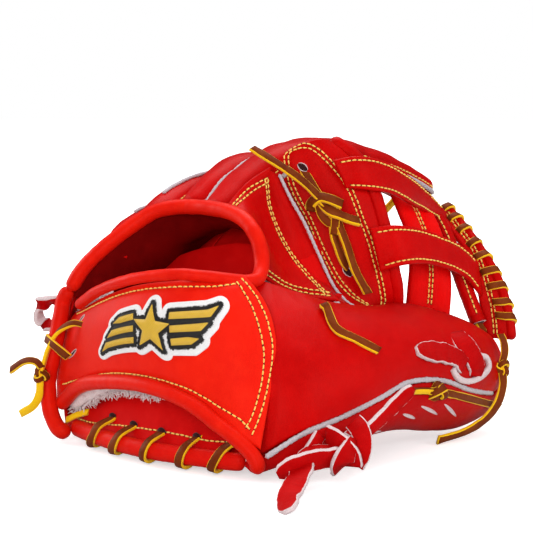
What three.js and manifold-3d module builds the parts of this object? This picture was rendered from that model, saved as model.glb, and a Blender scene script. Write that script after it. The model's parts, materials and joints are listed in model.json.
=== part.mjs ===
// Left-hand baseball fielding glove, lying palm down.
// Millimetres. +X towards the thumb side, +Y towards the fingertips, +Z up.
// Points are laid out from the middle of the heel. The finished glove is then moved so that its
// origin is the foot at the thumb-side heel corner, on the resting plane.
// "Back" is the back of the hand (above), "front" is the palm side (below).
// The glove has three bodies: root, the thumb, and the outer (ring and little) fingers. The thumb
// and the outer fingers each turn about an axis, and every piece is cut clear of that motion.
import * as THREE from 'three';
import { mergeVertices } from 'three/addons/utils/BufferGeometryUtils.js';
import Module from 'manifold-3d';

// ---------------------------------------------------------------- dimensions
const SHELL = 2.4;              // shell leather thickness
const LINER = 1.2;              // lining leather thickness
const FELT = 3.0;               // palm felt thickness
const PAD = 5.0;                // heel pad thickness
const FLEECE = 4.0;             // fleece under the strap
const PATCH = 1.6;              // emblem patch thickness
const PATCH_RISE = 3.2;         // patch outer face above the strap's
const POST = 3.0;               // web post thickness
const WEB_BASE_T = 3.2;         // web base panel thickness
const WEB_EDGE_T = 4;           // web edge strip thickness
const CROSS_T = 7;              // middle web crosspiece thickness
const RIBBON_LACE = { width: 5.2, thickness: 2.0 };
const HEEL_THONG = { width: 10, thickness: 3.0 };
const TIP_THONG = { width: 8, thickness: 2.4 };
const SIDE_THONG = { width: 9, thickness: 3.4 };
const RIM_R = 4.6;              // back opening binding radius
const ROLL_R = 4.2;             // strap roll radius
const HEEL_R = 3.6;             // heel binding radius
const STALL_LINER_SPACE = 1.2;  // between stall shell and lining
const FLEECE_SPACE = 1.3;       // between strap and fleece
const PADDING_SPACE = 1.6;      // between palm shell and padding
const PALM_LINER_DEPTH = 8.2;   // from palm shell to palm lining
const GAP = 0.6;                // clearance kept between neighbouring pieces
const FOOT = [79, 0, 0];        // thumb-side heel corner

// Turning bodies: two points on the axis and the largest turn in degrees.
const MOVES = {
  thumb: { axis: [[78,5,12],[45,45,100]], max: 22 },        // seam of strap and thumb
  outer: { axis: [[-42,215,78],[-50,90,124]], max: 20 },    // middle/ring valley
};
const TURN_STEPS = 12;          // intervals in which a turn is swept

// ---------------------------------------------------------------- finishes
const RED = 0xc8141c;
const DARK_RED = 0x9e0f16;
const FINISH = {
  lace: { color: 0x6b3316, roughness: 0.6 },
  thong: { color: RED, roughness: 0.6 },
  heelBinding: { color: RED, roughness: 0.5 },
  roll: { color: RED, roughness: 0.45 },
  welt: { color: 0xd9d6d2, roughness: 0.7 },
  emblem: { color: 0xe0ac2a, roughness: 0.6 },
  strap: { color: 0xd8291f, roughness: 0.45 },
  fleece: { color: 0xf2efe9, roughness: 0.95 },
  shell: { color: RED, roughness: 0.4 },
  web: { color: RED, roughness: 0.35 },
  palm: { color: DARK_RED, roughness: 0.45 },
  lining: { color: DARK_RED, roughness: 0.7 },
  felt: { color: 0xb9b2a6, roughness: 0.95 },
};

// ---------------------------------------------------------------- measured surfaces
// Every point is [x, y, z].
// Finger stalls: line along the back from hand to tip, half widths and half heights at the same
// points, and roll about the stall axis in radians.
const FINGERS = {
  index: {
    body: 'root',
    back: [[-20,64,144],[-17,88,163],[-11,110,176],[-5,135,180],[-1,160,178],
      [2,185,171],[4,210,162],[5,228,153],[5,241,145]],
    halfWidths: [14, 16, 17.5, 18, 18, 18, 17.5, 16.5, 15],
    halfHeights: [17, 15, 13, 12.5, 12, 11.5, 10.5, 9.5, 8.5],
    roll: -0.02,
  },
  middle: {
    body: 'root',
    back: [[-46,67,143],[-46,90,160],[-45,112,169],[-43,138,166],[-41,165,158],
      [-39,190,146],[-37,214,130],[-35,232,115],[-34,243,103]],
    halfWidths: [12, 15.5, 18, 18.5, 18.5, 18, 17.5, 16.5, 15],
    halfHeights: [17, 15, 13, 12.5, 12, 12, 12, 12, 11.5],
    roll: -0.28,
  },
  ring: {
    body: 'outer',
    back: [[-63,47,136],[-67,62,143],[-72,86,150],[-75,108,152],[-76,133,146],
      [-74,158,133],[-70,183,116],[-65,206,96],[-62,221,80],[-60,230,67]],
    halfWidths: [12, 14, 16, 17.5, 18, 18, 18, 17.5, 16.5, 15],
    halfHeights: [17, 16, 15, 13, 12.5, 12, 12, 12, 11.5, 11],
    roll: -0.62,
  },
  little: {
    body: 'outer',
    back: [[-81,28,108],[-87,46,121],[-93,72,128],[-98,97,126],[-100,122,116],
      [-99,146,100],[-95,168,80],[-90,187,58],[-85,203,34]],
    halfWidths: [10, 13, 15, 16.5, 17.5, 17.5, 17, 16.5, 15],
    halfHeights: [16, 16, 15.5, 13.5, 12.5, 12, 11.5, 11, 10.5],
    roll: -1.0,
  },
};
// Palm: rows from the heel to the knuckles, each from the little-finger edge to the thumb crease.
const PALM = [
  [[-80,3,6],[-66,-1,4],[-45,-5,3.5],[-20,-8.5,3],[2,-8.5,3],[24,-5,3.5],[44,0,4],[60,6,6]],
  [[-93,24,20],[-80,22,16],[-58,21,22],[-36,20,30],[-10,20,33],[16,21,32],[38,24,28],[56.5,31,29]],
  [[-103,48,34],[-90,47,38],[-68,46,54],[-42,46,66],[-14,46,69],[12,48,67],[33,52,60],[51,57,52]],
  [[-109,74,46],[-98,76,60],[-73,77,88],[-46,78,103],
    [-16,84,112],[9,90,112],[29,96,103],[43,100,88]],
  [[-96,110,80],[-80,122,99],[-61,126,127],[-37,127,144],
    [-18,129,151],[-2,130,155],[14,114,140],[36,101,104]],
];
// Back of the thumb: rows from heel to tip, each from the top edge to the welt.
const THUMB_BACK = [
  [[35,40,107],[48.6,30.1,91.4],[59.9,21.3,74.5],[68.9,13.7,56.3],[75.6,7.3,36.8],[80,2,16]],
  [[45,62,100],[59.9,51.6,88.9],[71.8,42.7,75.9],[80.6,35.1,61.1],[86.3,28.8,44.5],[89,24,26]],
  [[52,82,93],[67.3,73.1,85.1],[79.2,65.5,75.1],[87.8,59.1,62.9],[93.1,53.9,48.5],[95,50,32]],
  [[58,100,87],[72.9,93.6,82],[84.4,88.2,74.7],[92.6,83.8,65.1],[97.5,80.4,53.2],[99,78,39]],
  [[54,128,82],[70.1,121.7,79.4],[82.8,116,74.3],[92.2,111,66.9],[98.3,106.7,57.2],[101,103,45]],
  [[56,155,79],[71.6,149.9,76.1],[84.1,145.1,70.9],
    [93.5,140.5,63.5],[99.8,136.1,53.9],[103,132,42]],
  [[66,185,70],[79,180.6,66.7],[89.1,175.9,61.2],
    [96.5,170.9,53.6],[101.2,165.6,43.9],[103,160,32]],
  [[76,203,60],[83.7,202.9,56],[89.8,201.6,50.4],[94.2,199,43.4],[96.9,195.1,35],[98,190,25]],
  [[85,209,50],[87.8,209.4,47.4],[90.2,209,44.4],[92.2,207.8,41],[93.8,205.8,37.2],[95,203,33]],
];
const THUMB_WELT = THUMB_BACK.map((row) => row[5]);
// Front of the thumb: rows from heel to tip, each from the welt round under to the palm crease.
const THUMB_FRONT = [
  [[79,3,9],[74,4,5],[69,5,5],[65,5.5,6],[62,6,7]],
  [[88,26,15],[81,28,12],[72,30,16],[63,32,24],[57,33,31]],
  [[94,54,20],[85,59,17],[72,63,27],[59,66,44],[50,67,59]],
  [[98,85,24],[87,92,18],[70,98,30],[54,102,56],[44,104,90]],
  [[101,108,27],[88,113,16],[70,118,26],[54,122,52],[46,126,79]],
  [[102,134,26],[88,138,11],[70,143,20],[56,147,46],[50,152,76]],
  [[101,162,20],[88,168,8],[74,174,17],[65,180,40],[61,184,67]],
  [[96,192,18],[88,195,14],[80,198,24],[75,200,42],[73,203,57]],
  [[94,204,31],[90,206,33],[87,207,38],[85,208,44],[85,209,50]],
].map((row, k) => [THUMB_WELT[k], ...row]);
// Wrist strap: rows top to bottom, each from the little-finger side to the thumb side.
const STRAP = [
  [[-76,9,79],[-48,2,92],[-17,-1,102],[13,3,107],[33,16,108],[38,30,108]],
  [[-80,5,66],[-46,-5,78],[-14,-9,87],[16,-6,91],[42,8,92],[52,33,92]],
  [[-83,2,52],[-43,-8,63],[-11,-12,71],[21,-9,73],[50,4,73],[64,29,74]],
  [[-86,0,39],[-40,-9,51],[-7,-12,57],[27,-10,57],[56,0,52],[70,20,54]],
  [[-88,0,28],[-38,-8,44],[1,-10,48],[34,-8,43],[60,-4,30],[76,6,26]],
];
// Gusset beside the index finger: rows from the back opening to the web.
const GUSSET = [
  [[4,58,143],[17,56,138],[27,56,130],[35,54,118],[38,52,108]],
  [[5.3,72,153.4],[9.5,73.5,137],[13.7,75,121.1],[23.6,76.5,108.1],[36.5,78,96.1]],
  [[8.3,88,163.3],[5.6,91,142],[15.8,94,119.6],[30.7,97,103.1],[47,100,91.2]],
];
// Base panel of the web: rows from the gusset to its rolled edge, each from the top down.
const WEB_BASE = [
  [[0.6,100,163.5],[8.2,103.3,144.9],[16.6,106.7,131.3],[24.2,110,112.8],
    [32.5,113.3,94.4],[41.6,116.7,84.6],[52.1,120,80.4]],
  [[4.8,108,174.1],[16.5,112.2,156.4],[24.9,116.3,141.5],[32.6,120.5,121.7],
    [38.7,124.7,102.3],[44.8,128.8,86.6],[50.8,133,77.6]],
  [[18.6,116,181],[27.9,121,163.7],[37.2,126,145.8],[42.6,131,125.2],
    [46.5,136,104.4],[48.9,141,87.5],[48.9,146,75.2]],
  [[19.5,128,179.9],[32,138.7,169],[43.3,141.3,148.8],[49.2,144,128.3],
    [53.5,146.7,105.8],[55.4,149.3,89.1],[52.7,152,76.2]],
];
// Web posts: rows top to bottom, each from the base panel to the web edge.
const POSTS = {
  upper: [
    [[32.1,116,169],[41.6,128,171.2],[45.5,148,167.3],
      [45.3,172,157.4],[41.1,198,144.9],[38.3,221,130.4]],
    [[35.2,118.5,160.6],[43.9,130,161],[47.1,150,157.3],
      [46.2,173.5,148.1],[41.3,199,137.9],[38.3,221,126.8]],
    [[38.2,121,152.2],[46.2,132,150.8],[48.8,152,147.2],
      [47.1,175,138.7],[41.4,200,130.9],[38.4,221,123.3]],
  ],
  lower: [
    [[48.8,131,128.1],[58.5,142,129.7],[60.5,163,126.4],
      [61.5,186,119.6],[63,205,111.8],[65.4,219,100.6]],
    [[51.2,133,114.8],[61.6,143.5,117.7],[63.7,164,115.5],
      [64.8,187,109.2],[65.9,205,101.3],[67.5,218,90]],
    [[53.6,135,101.4],[64.8,145,105.7],[66.9,165,104.6],
      [68.1,188,98.7],[68.8,205,90.8],[69.6,217,79.4]],
  ],
};
// Web crosspieces, each line from the index finger down to the thumb.
const CROSS_MIDDLE = [
  [[28,172,154.6],[38.7,170.8,136.6],[47.7,169.6,119.9],
    [50.4,168.4,102.2],[50,167.2,86.7],[49.5,166,74.9]],
  [[26.7,200,151.6],[46.1,198,130.7],[57.2,196,112.8],
    [62.9,194,97.7],[65.3,192,84.3],[65.6,190,68.1]],
];
const CROSS_OUTER = [[25.8,214,140.4],[44.7,212.7,118.6],[60.3,211.3,92.5],[72.6,210,66.5]];
// Web edge strip: heel-side line, then fingertip-side line.
const WEB_EDGE = [
  [[29.7,226,128.1],[40.4,224.8,119.2],[54.9,223.7,105],[63.9,222.5,90.5],
    [70.5,221.3,73.9],[73.9,220.2,60.3],[74.9,219,52.9]],
  [[27.7,234,132.6],[39.7,232.3,123.4],[54.2,230.7,111.1],[68.3,229,97.1],
    [78.9,227.3,81.6],[85.5,225.7,65.7],[88.9,224,52.6]],
];
// Side of the hand below the little finger: rows top to bottom, each from the heel forwards.
const LITTLE_SIDE = [
  [[-88,16,88],[-91,38,97],[-95,62,101],[-101,88,98],[-103,110,90]],
  [[-94,11,50],[-104,32,62],[-113,54,72],[-117,78,76],[-113,100,78]],
  [[-87,6,12],[-99,26,26],[-109,50,40],[-114,76,51],[-107,99,66]],
];

// ---------------------------------------------------------------- vectors and splines
const vec = (p) => new THREE.Vector3(p[0], p[1], p[2]);

// Catmull-Rom point on a list of points; t counts in list entries.
function splineAt(points, t) {
  const n = points.length;
  t = Math.min(Math.max(t, 0), n - 1);
  const i = Math.min(Math.floor(t), n - 2);
  const f = t - i;
  const mirrored = (end, next) => end.map((x, j) => 2 * x - next[j]);
  const at = (k) => {
    if (k < 0) return mirrored(points[0], points[1]);
    if (k > n - 1) return mirrored(points[n - 1], points[n - 2]);
    return points[k];
  };
  const [a, b, c, d] = [at(i - 1), at(i), at(i + 1), at(i + 2)];
  return b.map((_, j) => 0.5 * (2 * b[j] + (c[j] - a[j]) * f
    + (2 * a[j] - 5 * b[j] + 4 * c[j] - d[j]) * f * f
    + (3 * b[j] - a[j] - 3 * c[j] + d[j]) * f * f * f));
}
const resample = (points, n) => Array.from({ length: n },
  (_, k) => splineAt(points, (k * (points.length - 1)) / (n - 1)));

// Point and direction at fraction k of a list of points.
const pointAt = (points, k) => vec(splineAt(points, k * (points.length - 1)));
const tangentAt = (points, k, step) => pointAt(points, Math.min(1, k + step))
  .sub(pointAt(points, Math.max(0, k - step))).normalize();

function valueAt(values, k) {
  const t = k * (values.length - 1);
  const i = Math.min(Math.floor(t), values.length - 2);
  return values[i] + (values[i + 1] - values[i]) * (t - i);
}

// Grid of rows x columns vectors over part of a table; u runs across its rows, v along them.
function patch(table, rows, columns, [u0, u1] = [0, 1], [v0, v1] = [0, 1]) {
  return Array.from({ length: rows }, (_, a) => {
    const u = (u0 + ((u1 - u0) * a) / (rows - 1)) * (table.length - 1);
    return Array.from({ length: columns }, (_, b) => {
      const v = (v0 + ((v1 - v0) * b) / (columns - 1)) * (table[0].length - 1);
      return vec(splineAt(table.map((row) => splineAt(row, v)), u));
    });
  });
}

function gridNormals(grid) {
  const lastRow = grid.length - 1;
  const lastColumn = grid[0].length - 1;
  return grid.map((row, a) => row.map((_, b) => {
    const du = grid[Math.min(a + 1, lastRow)][b].clone().sub(grid[Math.max(a - 1, 0)][b]);
    const dv = row[Math.min(b + 1, lastColumn)].clone().sub(row[Math.max(b - 1, 0)]);
    return du.cross(dv).normalize();
  }));
}

const offset = (grid, normals, d) => grid.map((row, a) => row.map(
  (p, b) => p.clone().addScaledVector(normals[a][b], d)));

// The same grid with its border moved outward by d.
function widen(grid, d) {
  const out = grid.map((row) => row.map((p) => p.clone()));
  const rows = grid.length;
  const columns = grid[0].length;
  const push = (a, b, a2, b2) => {
    const edge = grid[a][b].clone().sub(grid[a2][b2]);
    if (edge.length() > 1e-6) out[a][b].addScaledVector(edge.normalize(), d);
  };
  for (let b = 0; b < columns; b++) {
    push(0, b, 1, b);
    push(rows - 1, b, rows - 2, b);
  }
  for (let a = 0; a < rows; a++) {
    push(a, 0, a, 1);
    push(a, columns - 1, a, columns - 2);
  }
  return out;
}

// ---------------------------------------------------------------- closed surfaces
function fromArrays(positions, indices) {
  const geometry = new THREE.BufferGeometry();
  geometry.setAttribute('position', new THREE.Float32BufferAttribute(positions, 3));
  geometry.setIndex(indices);
  return geometry;
}

// The two faces of a skin between equal grids; with `closed` each row is a loop.
function twoFaces(outer, inner, closed) {
  const rows = outer.length;
  const columns = outer[0].length;
  const positions = [outer, inner].flat(2).flatMap((p) => [p.x, p.y, p.z]);
  const indices = [];
  const id = (side, a, b) => side * rows * columns + a * columns + (b % columns);
  const quad = (p, q, r, s) => indices.push(p, q, r, p, r, s);
  for (let a = 0; a < rows - 1; a++) {
    for (let b = 0; b < (closed ? columns : columns - 1); b++) {
      quad(id(0, a, b), id(0, a + 1, b), id(0, a + 1, b + 1), id(0, a, b + 1));
      quad(id(1, a, b), id(1, a, b + 1), id(1, a + 1, b + 1), id(1, a + 1, b));
    }
  }
  return { rows, columns, positions, indices, id, quad };
}

// Closed plate between two equal grids of points.
function plate(outer, inner) {
  const { rows, columns, positions, indices, id, quad } = twoFaces(outer, inner, false);
  const endA = rows - 1;
  const endB = columns - 1;
  for (let a = 0; a < endA; a++) {
    quad(id(0, a, 0), id(1, a, 0), id(1, a + 1, 0), id(0, a + 1, 0));
    quad(id(0, a + 1, endB), id(1, a + 1, endB), id(1, a, endB), id(0, a, endB));
  }
  for (let b = 0; b < endB; b++) {
    quad(id(0, 0, b + 1), id(1, 0, b + 1), id(1, 0, b), id(0, 0, b));
    quad(id(0, endA, b), id(1, endA, b), id(1, endA, b + 1), id(0, endA, b + 1));
  }
  return fromArrays(positions, indices);
}

// Hollow stack of loops: a wall joins the faces at the open end, a fan closes each at the tip.
function cup(outer, inner) {
  const { rows, columns, positions, indices, id, quad } = twoFaces(outer, inner, true);
  for (let b = 0; b < columns; b++) {
    quad(id(0, 0, b + 1), id(1, 0, b + 1), id(1, 0, b), id(0, 0, b));
  }
  [outer, inner].forEach((grid, side) => {
    const hub = positions.length / 3;
    const middle = new THREE.Vector3();
    for (const p of grid[rows - 1]) middle.add(p);
    middle.multiplyScalar(1 / columns);
    positions.push(middle.x, middle.y, middle.z);
    for (let b = 0; b < columns; b++) {
      const rim = [id(side, rows - 1, b), id(side, rows - 1, b + 1)];
      if (side === 0) rim.reverse();
      indices.push(...rim, hub);
    }
  });
  return fromArrays(positions, indices);
}

// ---------------------------------------------------------------- solids
const wasm = await Module();
wasm.setup();

function toSolid(geometry, weld = 1e-4) {
  // Only positions may decide which vertices merge.
  geometry.deleteAttribute('normal');
  geometry.deleteAttribute('uv');
  const merged = mergeVertices(geometry, weld);
  const all = merged.index.array;
  const triangles = [];
  for (let i = 0; i < all.length; i += 3) {
    const [p, q, r] = [all[i], all[i + 1], all[i + 2]];
    if (p !== q && q !== r && p !== r) triangles.push(p, q, r);
  }
  const build = () => new wasm.Manifold(new wasm.Mesh({
    numProp: 3,
    vertProperties: new Float32Array(merged.attributes.position.array),
    triVerts: new Uint32Array(triangles),
  }));
  const solid = build();
  if (solid.volume() >= 0) return solid;
  // Inside out: turn every triangle over.
  for (let i = 0; i < triangles.length; i += 3) {
    [triangles[i + 1], triangles[i + 2]] = [triangles[i + 2], triangles[i + 1]];
  }
  return build();
}

// The builders below return { solid, grown }: the part, and the part with clearance round it.

// A sheet of leather. The grid lies `outset` inside the outer face; `flip` turns the outside over.
function sheet(grid, { thickness, outset = 0, flip = false }) {
  const normals = gridNormals(grid).map((row) => row.map((n) => (flip ? n.negate() : n)));
  const wide = widen(grid, GAP * 1.3);
  return {
    solid: toSolid(plate(offset(grid, normals, outset), offset(grid, normals, outset - thickness))),
    grown: toSolid(plate(
      offset(wide, normals, outset + GAP),
      offset(wide, normals, outset - thickness - GAP),
    )),
  };
}

// A polygon swept along a smooth curve through the points.
function sweep(corners, points, steps) {
  const shape = new THREE.Shape();
  shape.moveTo(...corners[0]);
  for (const corner of corners.slice(1)) shape.lineTo(...corner);
  shape.closePath();
  const extrudePath = new THREE.CatmullRomCurve3(points.map(vec), false, 'centripetal');
  return toSolid(new THREE.ExtrudeGeometry(shape, { steps, extrudePath, bevelEnabled: false }));
}

// Adds clearance round both ends of a strand.
function withEnds(strand, points, radius) {
  const ball = (p) => toSolid(new THREE.IcosahedronGeometry(radius * 1.18, 0).translate(...p));
  return strand.add(ball(points[0])).add(ball(points[points.length - 1]));
}

function rod(points, { radius, steps, sides = 6 }) {
  const one = (r) => sweep(Array.from({ length: sides }, (_, i) => {
    const angle = (2 * Math.PI * i) / sides;
    return [r * Math.cos(angle), r * Math.sin(angle)];
  }), points, steps);
  return { solid: one(radius), grown: withEnds(one(radius + GAP * 1.1), points, radius + GAP) };
}

function ribbon(points, { width, thickness } = RIBBON_LACE) {
  const steps = Math.ceil((points.length - 1) * 1.4);
  const one = (margin) => {
    const a = width / 2 + margin;
    const b = thickness / 2 + margin;
    return sweep([[-a, -b], [a, -b], [a, b], [-a, b]], points, steps);
  };
  return { solid: one(0), grown: withEnds(one(GAP), points, Math.hypot(width, thickness) / 2 + GAP) };
}

// A knot is a ring lying flat.
function knot(at, { ring, tube }) {
  const one = (r) => toSolid(new THREE.TorusGeometry(ring, r, 5, 8).translate(...at));
  return { solid: one(tube), grown: one(tube + GAP) };
}

const join = (...parts) => parts.reduce((a, b) => ({
  solid: a.solid.add(b.solid),
  grown: a.grown.add(b.grown),
}));

const block = ([x0, x1], [y0, y1], [z0, z1]) => toSolid(
  new THREE.BoxGeometry(x1 - x0, y1 - y0, z1 - z0)
    .translate((x0 + x1) / 2, (y0 + y1) / 2, (z0 + z1) / 2),
);

// Cuts a part off flat at the resting plane.
const BELOW = block([-200, 200], [-60, 60], [-40, 0]);
const footed = (part) => ({ solid: part.solid.subtract(BELOW), grown: part.grown });

// ---------------------------------------------------------------- finger stalls
const STATIONS = [0, 0.14, 0.28, 0.46, 0.64, 0.82, 0.945, 0.985, 1];  // fractions of the length
const SECTION_POWER = 2.6;      // superellipse exponent of the stall section
const TIP_R = 13;               // length over which the tip rounds off
const LENGTH_SAMPLES = 80;

// Parts of the stall section: angles, number of points and the station where the part starts.
// Angle 0 points across the stall, a quarter turn points to its back.
const BACK_ARC = { from: -0.1, to: Math.PI + 0.1, count: 7, start: 0 };
const FRONT_ARC = { from: Math.PI + 0.16, to: 2 * Math.PI - 0.16, count: 5, start: 0.28 };
const FULL_LOOP = { from: 0, to: 2 * Math.PI, count: 7, start: 0.28, closed: true };

function stall(finger, { from, to, count, start, closed = false }, inset) {
  const points = resample(finger.back, LENGTH_SAMPLES);
  const lengths = [0];
  for (let i = 1; i < LENGTH_SAMPLES; i++) {
    lengths.push(lengths[i - 1] + vec(points[i]).distanceTo(vec(points[i - 1])));
  }
  const total = lengths[LENGTH_SAMPLES - 1];
  const up = new THREE.Vector3(Math.sin(finger.roll), 0, Math.cos(finger.roll));
  const rounded = (x) => Math.sign(x) * Math.abs(x) ** (2 / SECTION_POWER);
  return STATIONS.filter((s) => s >= start).map((s) => {
    const want = s * total;
    let i = 0;
    while (i < LENGTH_SAMPLES - 2 && lengths[i + 1] < want) i++;
    const t = (i + (want - lengths[i]) / (lengths[i + 1] - lengths[i])) / (LENGTH_SAMPLES - 1);
    const along = tangentAt(finger.back, t, 0.01);
    const normal = up.clone().addScaledVector(along, -up.dot(along)).normalize();
    const across = along.clone().cross(normal);
    const halfWidth = valueAt(finger.halfWidths, t);
    const halfHeight = valueAt(finger.halfHeights, t);
    const left = total - want;
    const taper = Math.max(0.03,
      left < TIP_R ? Math.sqrt(Math.max(0, 1 - ((TIP_R - left) / TIP_R) ** 2)) : 1);
    const centre = pointAt(finger.back, t)
      .addScaledVector(normal, -halfHeight)
      .addScaledVector(along, s > 0.9 ? -inset : 0);
    return Array.from({ length: count }, (_, j) => {
      const angle = from + ((to - from) * j) / (closed ? count : count - 1);
      return centre.clone()
        .addScaledVector(across, Math.max(halfWidth - inset, 1) * taper * rounded(Math.cos(angle)))
        .addScaledVector(normal, Math.max(halfHeight - inset, 1) * taper * rounded(Math.sin(angle)));
    });
  });
}

function stallShell(finger, arc) {
  return {
    solid: toSolid(plate(stall(finger, arc, 0), stall(finger, arc, SHELL))),
    grown: toSolid(plate(
      widen(stall(finger, arc, -GAP), GAP),
      widen(stall(finger, arc, SHELL + GAP), GAP),
    )),
  };
}

function stallLining(finger) {
  const inset = SHELL + STALL_LINER_SPACE;
  const one = (margin) => toSolid(cup(
    stall(finger, FULL_LOOP, inset - margin),
    stall(finger, FULL_LOOP, inset + LINER + margin),
  ));
  return { solid: one(0), grown: one(GAP) };
}

// ---------------------------------------------------------------- pieces
// Each piece is cut back from the pieces listed before it, so the order matters.
const pieces = [];
const add = (name, body, part, finish) => pieces.push({ name, body, finish, ...part });

// ---- Lacing, thongs and knots
const HEEL_LINE = resample([[-66,0,8],[-45,-5.4,8],[-20,-8.8,8],[2,-8.8,8],[24,-5.4,8],
  [44,0,8],[57,5,8]], 60);

// Lace wound round the heel binding.
function heelLace() {
  const turns = 5;
  const perTurn = 8;
  const [start, end] = [0.08, 0.94];
  const coilR = HEEL_R + 2.8;
  const points = [];
  for (let i = 0; i <= turns * perTurn; i++) {
    const k = start + ((end - start) * i) / (turns * perTurn);
    const along = tangentAt(HEEL_LINE, k, 0.02);
    const up = new THREE.Vector3(0, 0, 1).addScaledVector(along, -along.z).normalize();
    const across = along.clone().cross(up);
    const angle = (2 * Math.PI * i) / perTurn;
    points.push(pointAt(HEEL_LINE, k)
      .addScaledVector(up, coilR * Math.cos(angle))
      .addScaledVector(across, coilR * Math.sin(angle))
      .toArray());
  }
  return rod(points, { radius: 1.5, sides: 5, steps: points.length - 1 });
}
add('heel_lace', 'root', heelLace(), FINISH.lace);

// Lace wound round the web edge strip, in an oval about its middle line.
function webEdgeLace() {
  const turns = 8;
  const perTurn = 6;
  const [start, span] = [0.06, 0.86];
  const sideSpace = 4.6;        // beyond the strip's edges
  const reach = 5.6;            // off its faces
  const [near, far] = WEB_EDGE.map((line) => resample(line, 50));
  const points = [];
  for (let i = 0; i <= turns * perTurn; i++) {
    const k = start + (span * i) / (turns * perTurn);
    const outer = pointAt(far, k);
    const across = outer.clone().sub(pointAt(near, k));
    const width = across.length();
    across.normalize();
    const normal = tangentAt(far, k, 0.02).cross(across).normalize();
    const angle = (2 * Math.PI * i) / perTurn;
    points.push(outer.addScaledVector(across, -width * 0.5)
      .addScaledVector(across, (width * 0.5 + sideSpace) * Math.cos(angle))
      .addScaledVector(normal, reach * Math.sin(angle))
      .toArray());
  }
  return rod(points, { radius: 1.4, sides: 5, steps: points.length - 1 });
}
add('web_edge_lace', 'root', webEdgeLace(), FINISH.lace);

// Knot on the web base, two tails and two loops.
add('web_base_lace', 'root', join(
  knot([33.8,111.5,138.8], { ring: 4, tube: 2.2 }),
  ribbon([[34.3,111.9,138.1],[27.8,106.7,148.2],[18.1,101.2,158.1],[7.9,92,167.3],[-4.3,84,176.1]]),
  ribbon([[36.3,113.2,136.1],[40.6,117.7,120.5],[45.1,121.7,103],[51.1,126.8,88.8]]),
  ribbon([[16.5,107.4,162.4],[23.3,109,152.5],[30.7,110.8,141.9]]),
  ribbon([[34.3,113,136.6],[34.5,114.2,123.9],[38.4,117.3,110],[41.3,120,103.7]]),
), FINISH.lace);

add('thumb_top_lace', 'thumb', ribbon([[70.7,63.6,87.6],[80.9,62,79.1],[89.5,69.7,72.9],
  [97.4,80.4,65.7]]), FINISH.lace);

add('thumb_tip_thong', 'thumb', join(
  ribbon([[100.6,115.1,64.8],[102.7,127.9,61.4],[102.4,150.9,60],[105.2,162.3,53.2],
    [107,172.7,43.7]], TIP_THONG),
  ribbon([[99.9,133.4,67.1],[101.6,149.9,66.6],[109.8,151.9,55.1],[112.4,168.4,42]], TIP_THONG),
), FINISH.thong);

const TIP_KNOT = [100.5,197,39.9];
add('thumb_tip_lace', 'thumb', join(
  knot(TIP_KNOT, { ring: 3.4, tube: 1.9 }),
  ribbon([TIP_KNOT,[103.5,194,30.8],[105.6,186,21.1],[104.7,175,12.7],[100.9,160,6.6],
    [94.8,140.2,3.5]]),
), FINISH.lace);

const FRONT_KNOT = [90,146,31.1];
add('thumb_front_lace', 'thumb', join(
  knot(FRONT_KNOT, { ring: 3.2, tube: 1.8 }),
  ribbon([[87.9,110,38.1],[90.5,120,35.7],[91.7,132,34.1],FRONT_KNOT,[94.6,162,26.9],
    [99.4,178,21.4],[103,192,16.6]]),
), FINISH.lace);

const HEEL_KNOT = [110,34,20.7];
add('thumb_heel_thong', 'thumb', join(
  knot(HEEL_KNOT, { ring: 7.5, tube: 4.2 }),
  ribbon([HEEL_KNOT,[115.1,44,32.1],[119.6,54,40.1],[127.1,62,47.2],[134.2,68,52.3]], HEEL_THONG),
  ribbon([[113.2,26,19.3],[107.5,16,16.8],[102,6,13.9],[94.7,-2,10.3]], HEEL_THONG),
  ribbon([[110.9,22,14.1],[109.6,12,9.1],[109.8,2,4.4],[122,-21.4,2.5]], HEEL_THONG),
), FINISH.thong);

const STRAP_KNOT = [-79.6,-17,37.7];
add('strap_lace', 'root', join(
  ribbon([[-76,-4,60],[-86,-10,59],[-98,-12,53],[-106,-7,46],[-106,4,40]]),
  knot(STRAP_KNOT, { ring: 3.0, tube: 1.6 }),
  ribbon([STRAP_KNOT,[-84.4,-19,44],[-94.2,-20,46],[-105.5,-20,42.7]]),
  ribbon([STRAP_KNOT,[-80.4,-18,32.3],[-86.7,-19,24.9],[-96.9,-20,18.1]]),
), FINISH.lace);

add('little_side_thong', 'root', ribbon([[-96.9,16,68.6],[-103.1,10,66.2],[-109.6,6,69.7],
  [-109.4,6,78.4],[-102.2,8,82.6],[-95.8,12,80.4],[-99.5,20,76.6]], SIDE_THONG), FINISH.thong);
add('index_tip_lace', 'root', ribbon([[-2,226,158],[-10,227,157],[-19,226,148],[-25,224,137],
  [-30,222,131]]), FINISH.lace);
add('little_tip_lace', 'outer', ribbon([[-77,205,92],[-83,201,86],[-90,193,73],[-97,186,62],
  [-101,180,55]]), FINISH.lace);

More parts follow.
